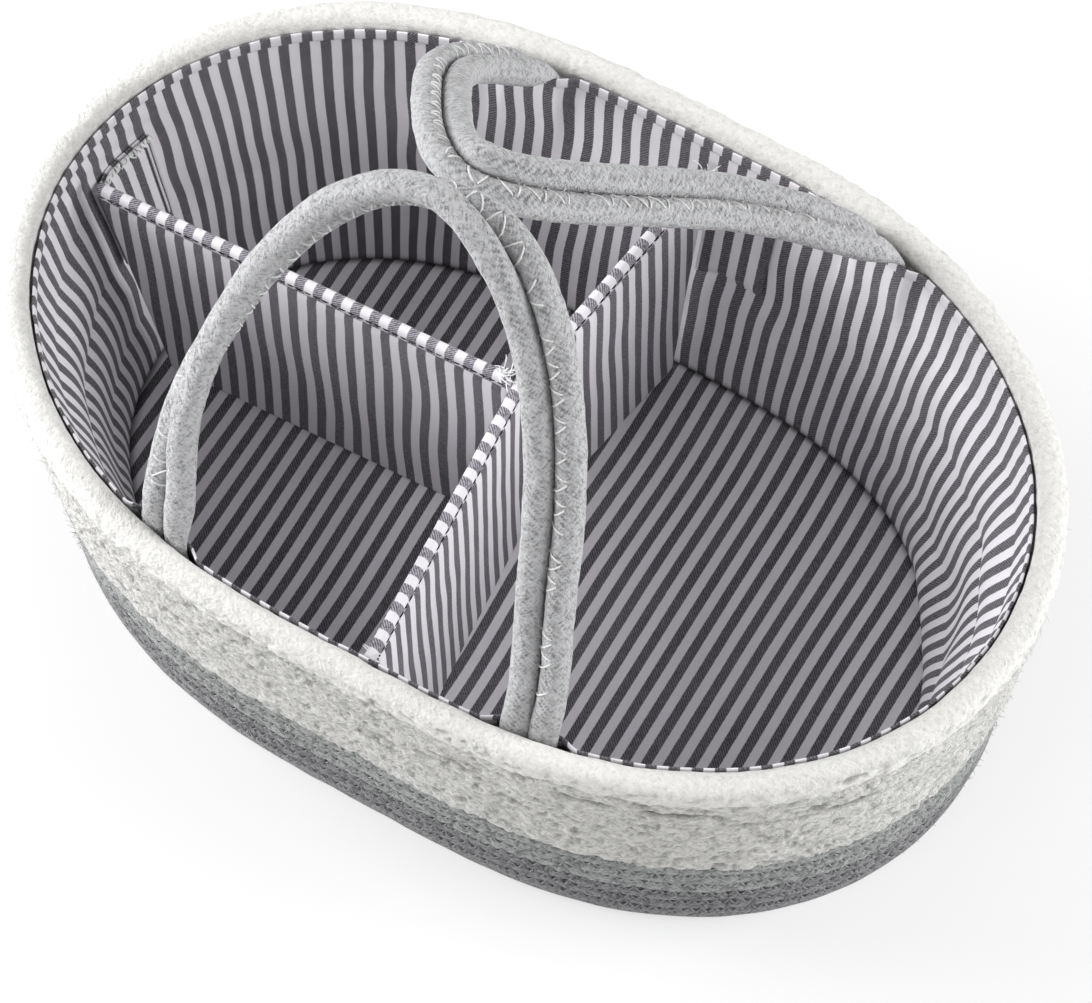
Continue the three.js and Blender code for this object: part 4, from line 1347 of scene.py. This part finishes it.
class CADDY_OT_tabs(bpy.types.Operator):
    """Cut the three tabs with their hook-and-loop strips."""

    bl_idname = "caddy.tabs"
    bl_label = "Tabs"

    def execute(self, context):
        cloth = context.scene.caddy_cloth
        cotton = striped_cotton("striped cotton tab", cloth, 0.2)
        hook = tape_material("hook tape", srgb(222, 222, 225), 1500.0, 0.0006)
        loop = tape_material("loop tape", srgb(228, 228, 230), 900.0, 0.0009)
        loose = thread_material("loose white thread", srgb(250, 250, 250))
        seams = [
            tuft((-10.5, 3.4, 122.6), (2.0, 1.6, 0.3), 22, 3.6, 191),
            tuft((3.5, -108.2, 121.8), (1.2, 1.2, 0.3), 16, 3.4, 192),
            tuft((9.0, 107.4, 121.8), (1.2, 1.2, 0.3), 12, 3.4, 193),
        ]
        cut_ends = thread_object("divider_cut_ends", np.concatenate(seams), 0.22)
        dress(cut_ends, loose, "striped_cotton", "divider")
        for number, end in enumerate(TABS):
            box = node_box(f"{end}_tab")
            shares = tab_shares(end, box)
            span = shares[1] - shares[0]
            heights = (box[0][2], box[1][2])
            tab_name = f"{end}_tab_cloth"
            tab = wall_patch(tab_name, shares, heights, TAB_SET, 1.1, 1.9, TAB_GRID, 141 + number)
            dress(tab, cotton, "striped_cotton", f"{end}_tab", f"{end}_tab")
            face = surface_of(tab, TAB_GRID[0])[TAB_GRID[1]:]
            off_wall = -np.append(outward(np.array([shares[0] + span / 2]))[0], 0.0)
            down = face[-10].mean(0) - face[-1].mean(0)
            down /= np.linalg.norm(down)
            ends = fringe(face[-1, 2:], off_wall * 1.3, down, 52, 3.0, 171 + number)
            frayed = thread_object(f"{end}_tab_thread", ends, 0.36)
            dress(frayed, loose, "striped_cotton", f"{end}_tab")
            if end == "left":
                welt = thread_object("left_tab_welt", face[None, 3:, -3] + off_wall * 0.8, 0.5)
                dress(welt, loose, "striped_cotton", "left_tab")
            strip_low, strip_high = node_box(f"{end}_hook_strip")
            inner = (shares[0] + 0.2 * span, shares[1] - 0.28 * span)
            heights = (strip_low[2] + 4.0, strip_high[2] - 4.0)
            tapes = (
                ("hook", hook, f"{end}_tab", HOOK_SET, 0.8, 151 + number),
                ("loop", loop, "basket", LOOP_SET, 0.9, 161 + number),
            )
            for kind, material, body, inset, thickness, seed in tapes:
                name = f"{end}_{kind}_tape"
                tape = wall_patch(name, inner, heights, inset, thickness, 0.0, STRIP_GRID, seed)
                dress(tape, material, "hook_and_loop", body, f"{end}_{kind}_strip")
        return {"FINISHED"}


# Handles


def handle_frames(name, rope):
    """Axis, pair direction and face direction along one rope of a handle, foot to foot.

    rope is 1 for the inner rope, -1 for the outer one and 0 for the groove between them.
    """
    side, shift, rise, lean, sway, pinch = HANDLES[name]
    first = math.asin(13.0 / rise)
    angle = np.linspace(first, np.pi - first, 260)

    def centre(value):
        up = np.sin(value)
        half = HANDLE_HALF_SPAN * (1 - pinch * up)
        drift = shift + (sway - shift) * smoothstep(up, HANDLE_RADIUS / rise, HANDLE_SWAY_END)
        return np.stack([half * np.cos(value) - side * drift, rise * up], -1)

    middle = centre(angle)
    along = unit(centre(angle + 0.01) - centre(angle - 0.01))
    turn = np.radians(np.interp(np.degrees(angle), *HANDLE_TWIST[name]))
    aside = np.column_stack([-along[:, 1] * np.cos(turn), -np.sin(turn), along[:, 0] * np.cos(turn)])
    axis = np.column_stack([middle[:, 0], np.zeros(len(angle)), middle[:, 1]])
    tilt = math.radians(lean)

    def lean_in(vectors):
        y = vectors[:, 1] * math.cos(tilt) + vectors[:, 2] * math.sin(tilt)
        z = -vectors[:, 1] * math.sin(tilt) + vectors[:, 2] * math.cos(tilt)
        turned = np.column_stack([vectors[:, 0], y, z])
        return turned * np.array([-1.0, -1.0, 1.0]) if side > 0 else turned

    axis = lean_in(axis) + np.array([0.0, side * HANDLE_AXIS_Y, HANDLE_AXIS_Z])
    aside = lean_in(aside)
    # The sewn-in ends: straight down behind the lining, then over the rim into the loop.
    steps = 24
    low_z = np.linspace(FOOT_LOW_Z, RIM_Z, steps)
    for end in (0, -1):
        towards = np.sign(axis[end, 0] - shift)
        share = share_at(side, shift + towards * HANDLE_HALF_SPAN)
        wall = outward(np.full(steps, share))
        plan = around(np.full(steps, share), wall_radius(low_z)) - wall * FOOT_SET
        foot = np.column_stack([plan, low_z])
        turned = towards * side
        inward = np.column_stack([-wall[:, 1] * turned, wall[:, 0] * turned, np.zeros(steps)])
        if end == 0:
            axis = np.vstack([foot, axis])
            aside = np.vstack([inward, aside])
        else:
            axis = np.vstack([axis, foot[::-1]])
            aside = np.vstack([aside, inward])
    axis, aside = even_run(axis, aside, 0.75)
    axis = ease_line(axis, JOIN_EASE)
    aside = ease_line(aside, JOIN_EASE)
    eased = ease_line(axis, HANDLE_EASE[name])
    axis = axis + (eased - axis) * smoothstep(axis[:, 2], *EASE_Z)[:, None]
    along = unit(np.gradient(axis, axis=0))
    aside = unit(aside - along * (aside * along).sum(1, keepdims=True))
    above = np.cross(along, aside)
    return axis + aside * HANDLE_SET * rope, aside, above


def even_run(axis, aside, spacing):
    """The same line with evenly spaced points."""
    run = run_along(axis)
    even = np.linspace(0, run[-1], int(run[-1] / spacing))
    return line_at(even, run, axis), line_at(even, run, aside)


def ease_line(line, rounds):
    """Smooths a line between its two ends."""
    line = line.copy()
    for _ in range(rounds):
        line[1:-1] = 0.25 * line[:-2] + 0.5 * line[1:-1] + 0.25 * line[2:]
    return line


def handle_rope_object(name, frames, place, seed):
    """One rope of a handle with its flattened ends; place is 1 for the inner rope, -1 for the outer."""
    axis, aside, above = frames
    angle = np.arange(HANDLE_SIDES) / HANDLE_SIDES * TAU
    flat = 1 - smoothstep(axis[:, 2], *FLAT_Z)
    tall = HANDLE_RADIUS * (1 - flat) + FOOT_HALF_THICKNESS * flat
    run = run_along(axis)
    arc = angle * HANDLE_RADIUS
    swell = 0.24 * rope_noise(run, arc, 11.0, 6.0, seed + 1)
    swell = swell + 0.14 * rope_noise(run, arc, 2.6, 2.0, seed)
    radius = 1 + swell / HANDLE_RADIUS
    offset = aside[:, None] * (HANDLE_RADIUS * np.cos(angle))[None, :, None]
    offset = offset + above[:, None] * (tall[:, None] * np.sin(angle)[None])[..., None]
    points = axis[:, None] + offset * radius[..., None]
    coords = cloth_grid(run[:, None], np.append(arc, TAU * HANDLE_RADIUS))
    # The groove beside the other rope and the slanting braid marks get painted shade through
    # hollow_and_shade; the rope is not dented there.
    groove = bump(np.cos(angle), -place, 0.18) * 0.35
    slanted = run[:, None] + 0.8 * arc[None] + 0.4 * rope_noise(run, arc, 3.0, 3.0, seed + 3)
    marks = smoothstep(np.sin(TAU * slanted / BRAID_PERIOD), 0.0, 0.8)
    marks = marks * smoothstep(rope_noise(run, arc, 4.0, 2.0, seed + 4), -0.7, 0.3)
    if place < 0:
        row = bump(np.cos(angle), 0.25, 0.4)
    else:
        row = 0.8 * bump(np.cos(angle), 0.0, 0.35)
    hollow_and_shade = np.maximum(groove[None], marks * row[None])
    return closed_grid(name, points, coords, hollow_and_shade=hollow_and_shade)


def handle_stitches(frames, pitch):
    """Zigzag thread over the groove of a pair, on both of its faces."""
    run = run_along(frames[0])
    inside = run[frames[0][:, 2] > SEWN_LOW_Z]
    starts = np.arange(inside[0], inside[-1] - pitch, pitch)
    steps = np.linspace(0, 1, 7)
    strokes = []

    def at(where, across, facing, lift):
        axis, aside, above = (line_at(where, run, values) for values in frames)
        from_axis = np.abs(across) - HANDLE_SET
        height = np.sqrt(np.clip(HANDLE_RADIUS ** 2 - from_axis ** 2, 0, None)) + lift
        return axis + aside * across[..., None] + above * (facing * height)[..., None]

    lift = np.array([-0.7, 0.05, 0.16, 0.2, 0.16, 0.05, -0.7])
    jitter = 1.6 * soft_noise(starts / 7.0, 0.5, 201)
    tips = -4.6 - 0.9 * scatter(np.arange(len(starts)), 5.0, 202)[:, None]
    for facing in (1.0, -1.0):
        for begin, stop, outer_first in ((0.0, 0.56, False), (0.62, 0.82, True)):
            where = starts[:, None] + pitch * (begin + (stop - begin) * steps[None]) + jitter[:, None]
            part = 1 - steps[None] if outer_first else steps[None]
            across = 0.9 + (tips - 0.9) * part
            kept = scatter(starts, begin, 203) < 0.85
            strokes.append(at(where, across, facing, np.broadcast_to(lift[None], where.shape))[kept])
    return np.concatenate(strokes)


class CADDY_OT_handles(bpy.types.Operator):
    """Bend the two pairs of rope into handles and sew each pair together."""

    bl_idname = "caddy.handles"
    bl_label = "Handles"

    def execute(self, context):
        settings = context.scene.caddy_handles
        pitch = settings.stitch_pitch / MM
        rope = rope_material("heather handle rope", tuple(settings.heather), 0.1, 0.75, 1.0)
        white = thread_material("white handle thread", srgb(232, 232, 232))
        for name, (side, *_) in HANDLES.items():
            body = f"{name}_handle"
            for label, place, foot in (("inner", 1, "left"), ("outer", -1, "right")):
                frames = handle_frames(name, place)
                cord = handle_rope_object(f"{body}_{label}_cord", frames, place, 211 + 10 * place)
                dress(cord, rope, "handle_rope", None, f"{body}_{label}_rope", f"{body}_{foot}_foot")
                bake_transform(cord)
            strokes = handle_stitches(handle_frames(name, 0), pitch)
            thread = thread_object(f"{body}_thread", strokes, 0.34)
            dress(thread, white, "handle_rope", None)
            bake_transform(thread)
        return {"FINISHED"}


class CADDY_OT_stage(bpy.types.Operator):
    """Set the camera, the pale floor and the soft light."""

    bl_idname = "caddy.stage"
    bl_label = "Stage"

    def execute(self, context):
        stage = context.scene.caddy_stage
        scene = context.scene
        target = Vector(stage.target)
        flat = math.cos(stage.elevation)
        away = Vector((
            math.sin(stage.azimuth) * flat,
            -math.cos(stage.azimuth) * flat,
            math.sin(stage.elevation),
        ))
        camera_data = bpy.data.cameras.new("camera")
        camera_data.sensor_width = 36.0
        camera_data.lens = stage.lens
        camera = bpy.data.objects.new("camera", camera_data)
        scene.collection.objects.link(camera)
        camera.location = target + away * stage.distance
        camera.rotation_euler = (-away).to_track_quat("-Z", "Y").to_euler()
        scene.camera = camera
        self.floor()
        self.world(scene, stage.fill)
        self.lamp(scene, "left lamp", (-1.25, -0.3, 0.75), 1.0, stage.key_power)
        self.lamp(scene, "right lamp", (1.2, 0.5, 0.75), 1.0, stage.key_power * 0.75)
        self.lamp(scene, "front lamp", (-0.3, -1.3, 0.7), 1.0, stage.key_power * 0.15)
        scene.view_settings.view_transform = "Standard"
        return {"FINISHED"}

    def floor(self):
        size = 4000.0
        steps = np.linspace(-size, size, 9)
        across, deep = np.meshgrid(steps, steps)
        points = np.stack([across, deep, np.full_like(across, -0.05)], -1)
        coords = np.stack([across, deep], -1)
        obj = grid_object("studio_floor", points, coords)
        tree = Tree("studio floor", 0.9)
        tone = tree.noise(3.0, 1.0)
        paint = tree.mix(tone, (0.86, 0.86, 0.86), (0.9, 0.9, 0.9))
        tree.finish(paint)
        glow = tree.add("ShaderNodeEmission")
        glow.inputs["Color"].default_value = (1, 1, 1, 1)
        path = tree.add("ShaderNodeLightPath")
        seen = tree.math("MAXIMUM", path.outputs["Is Camera Ray"], path.outputs["Is Glossy Ray"])
        seen = tree.math("MAXIMUM", seen, path.outputs["Is Transmission Ray"])
        blend = tree.add("ShaderNodeMixShader")
        tree.links.new(tree.math("MULTIPLY", seen, 0.6), blend.inputs[0])
        tree.links.new(tree.shader.outputs["BSDF"], blend.inputs[1])
        tree.links.new(glow.outputs["Emission"], blend.inputs[2])
        output = next(node for node in tree.nodes if node.type == "OUTPUT_MATERIAL")
        tree.links.new(blend.outputs[0], output.inputs["Surface"])
        obj.data.materials.append(tree.material)

    def world(self, scene, fill):
        world = bpy.data.worlds.new("studio")
        world.use_nodes = True
        nodes = world.node_tree.nodes
        links = world.node_tree.links
        nodes.clear()
        output = nodes.new("ShaderNodeOutputWorld")
        path = nodes.new("ShaderNodeLightPath")
        mix = nodes.new("ShaderNodeMixShader")
        links.new(path.outputs["Is Camera Ray"], mix.inputs[0])
        # The light from all round, and the white that the camera sees behind the floor.
        for strength, socket in ((fill, mix.inputs[1]), (1.0, mix.inputs[2])):
            glow = nodes.new("ShaderNodeBackground")
            glow.inputs["Color"].default_value = (1, 1, 1, 1)
            glow.inputs["Strength"].default_value = strength
            links.new(glow.outputs[0], socket)
        links.new(mix.outputs[0], output.inputs["Surface"])
        scene.world = world

    def lamp(self, scene, name, place, size, power):
        data = bpy.data.lights.new(name, "AREA")
        data.shape = "DISK"
        data.size = size
        data.energy = power
        lamp = bpy.data.objects.new(name, data)
        scene.collection.objects.link(lamp)
        lamp.location = place
        lamp.rotation_euler = (Vector((0, 0, 0.06)) - Vector(place)).to_track_quat("-Z", "Y").to_euler()


class CADDY_PT_panel(bpy.types.Panel):
    """Settings and steps of the caddy."""

    bl_label = "Rope Diaper Caddy"
    bl_space_type = "VIEW_3D"
    bl_region_type = "UI"
    bl_category = "Caddy"

    def draw(self, context):
        layout = self.layout
        for name in SETTINGS:
            group = getattr(context.scene, name)
            box = layout.box()
            for key in group.__annotations__:
                box.prop(group, key)
        for operator in OPERATORS:
            layout.operator(operator.bl_idname)


SETTINGS = {
    "caddy_ropes": RopeSettings,
    "caddy_cloth": ClothSettings,
    "caddy_handles": HandleSettings,
    "caddy_stage": StageSettings,
}
OPERATORS = (
    CADDY_OT_stage,
    CADDY_OT_base,
    CADDY_OT_bands,
    CADDY_OT_rim,
    CADDY_OT_lining,
    CADDY_OT_divider,
    CADDY_OT_tabs,
    CADDY_OT_handles,
)


def register():
    for group in SETTINGS.values():
        bpy.utils.register_class(group)
    for name, group in SETTINGS.items():
        setattr(bpy.types.Scene, name, PointerProperty(type=group))
    for operator in OPERATORS:
        bpy.utils.register_class(operator)
    bpy.utils.register_class(CADDY_PT_panel)


def unregister():
    bpy.utils.unregister_class(CADDY_PT_panel)
    for operator in reversed(OPERATORS):
        bpy.utils.unregister_class(operator)
    for name, group in SETTINGS.items():
        delattr(bpy.types.Scene, name)
        bpy.utils.unregister_class(group)


def main():
    register()
    bpy.ops.caddy.stage()
    bpy.ops.caddy.base()
    bpy.ops.caddy.bands()
    bpy.ops.caddy.rim()
    bpy.ops.caddy.lining()
    bpy.ops.caddy.divider()
    bpy.ops.caddy.tabs()
    bpy.ops.caddy.handles()


if __name__ == "__main__":
    main()
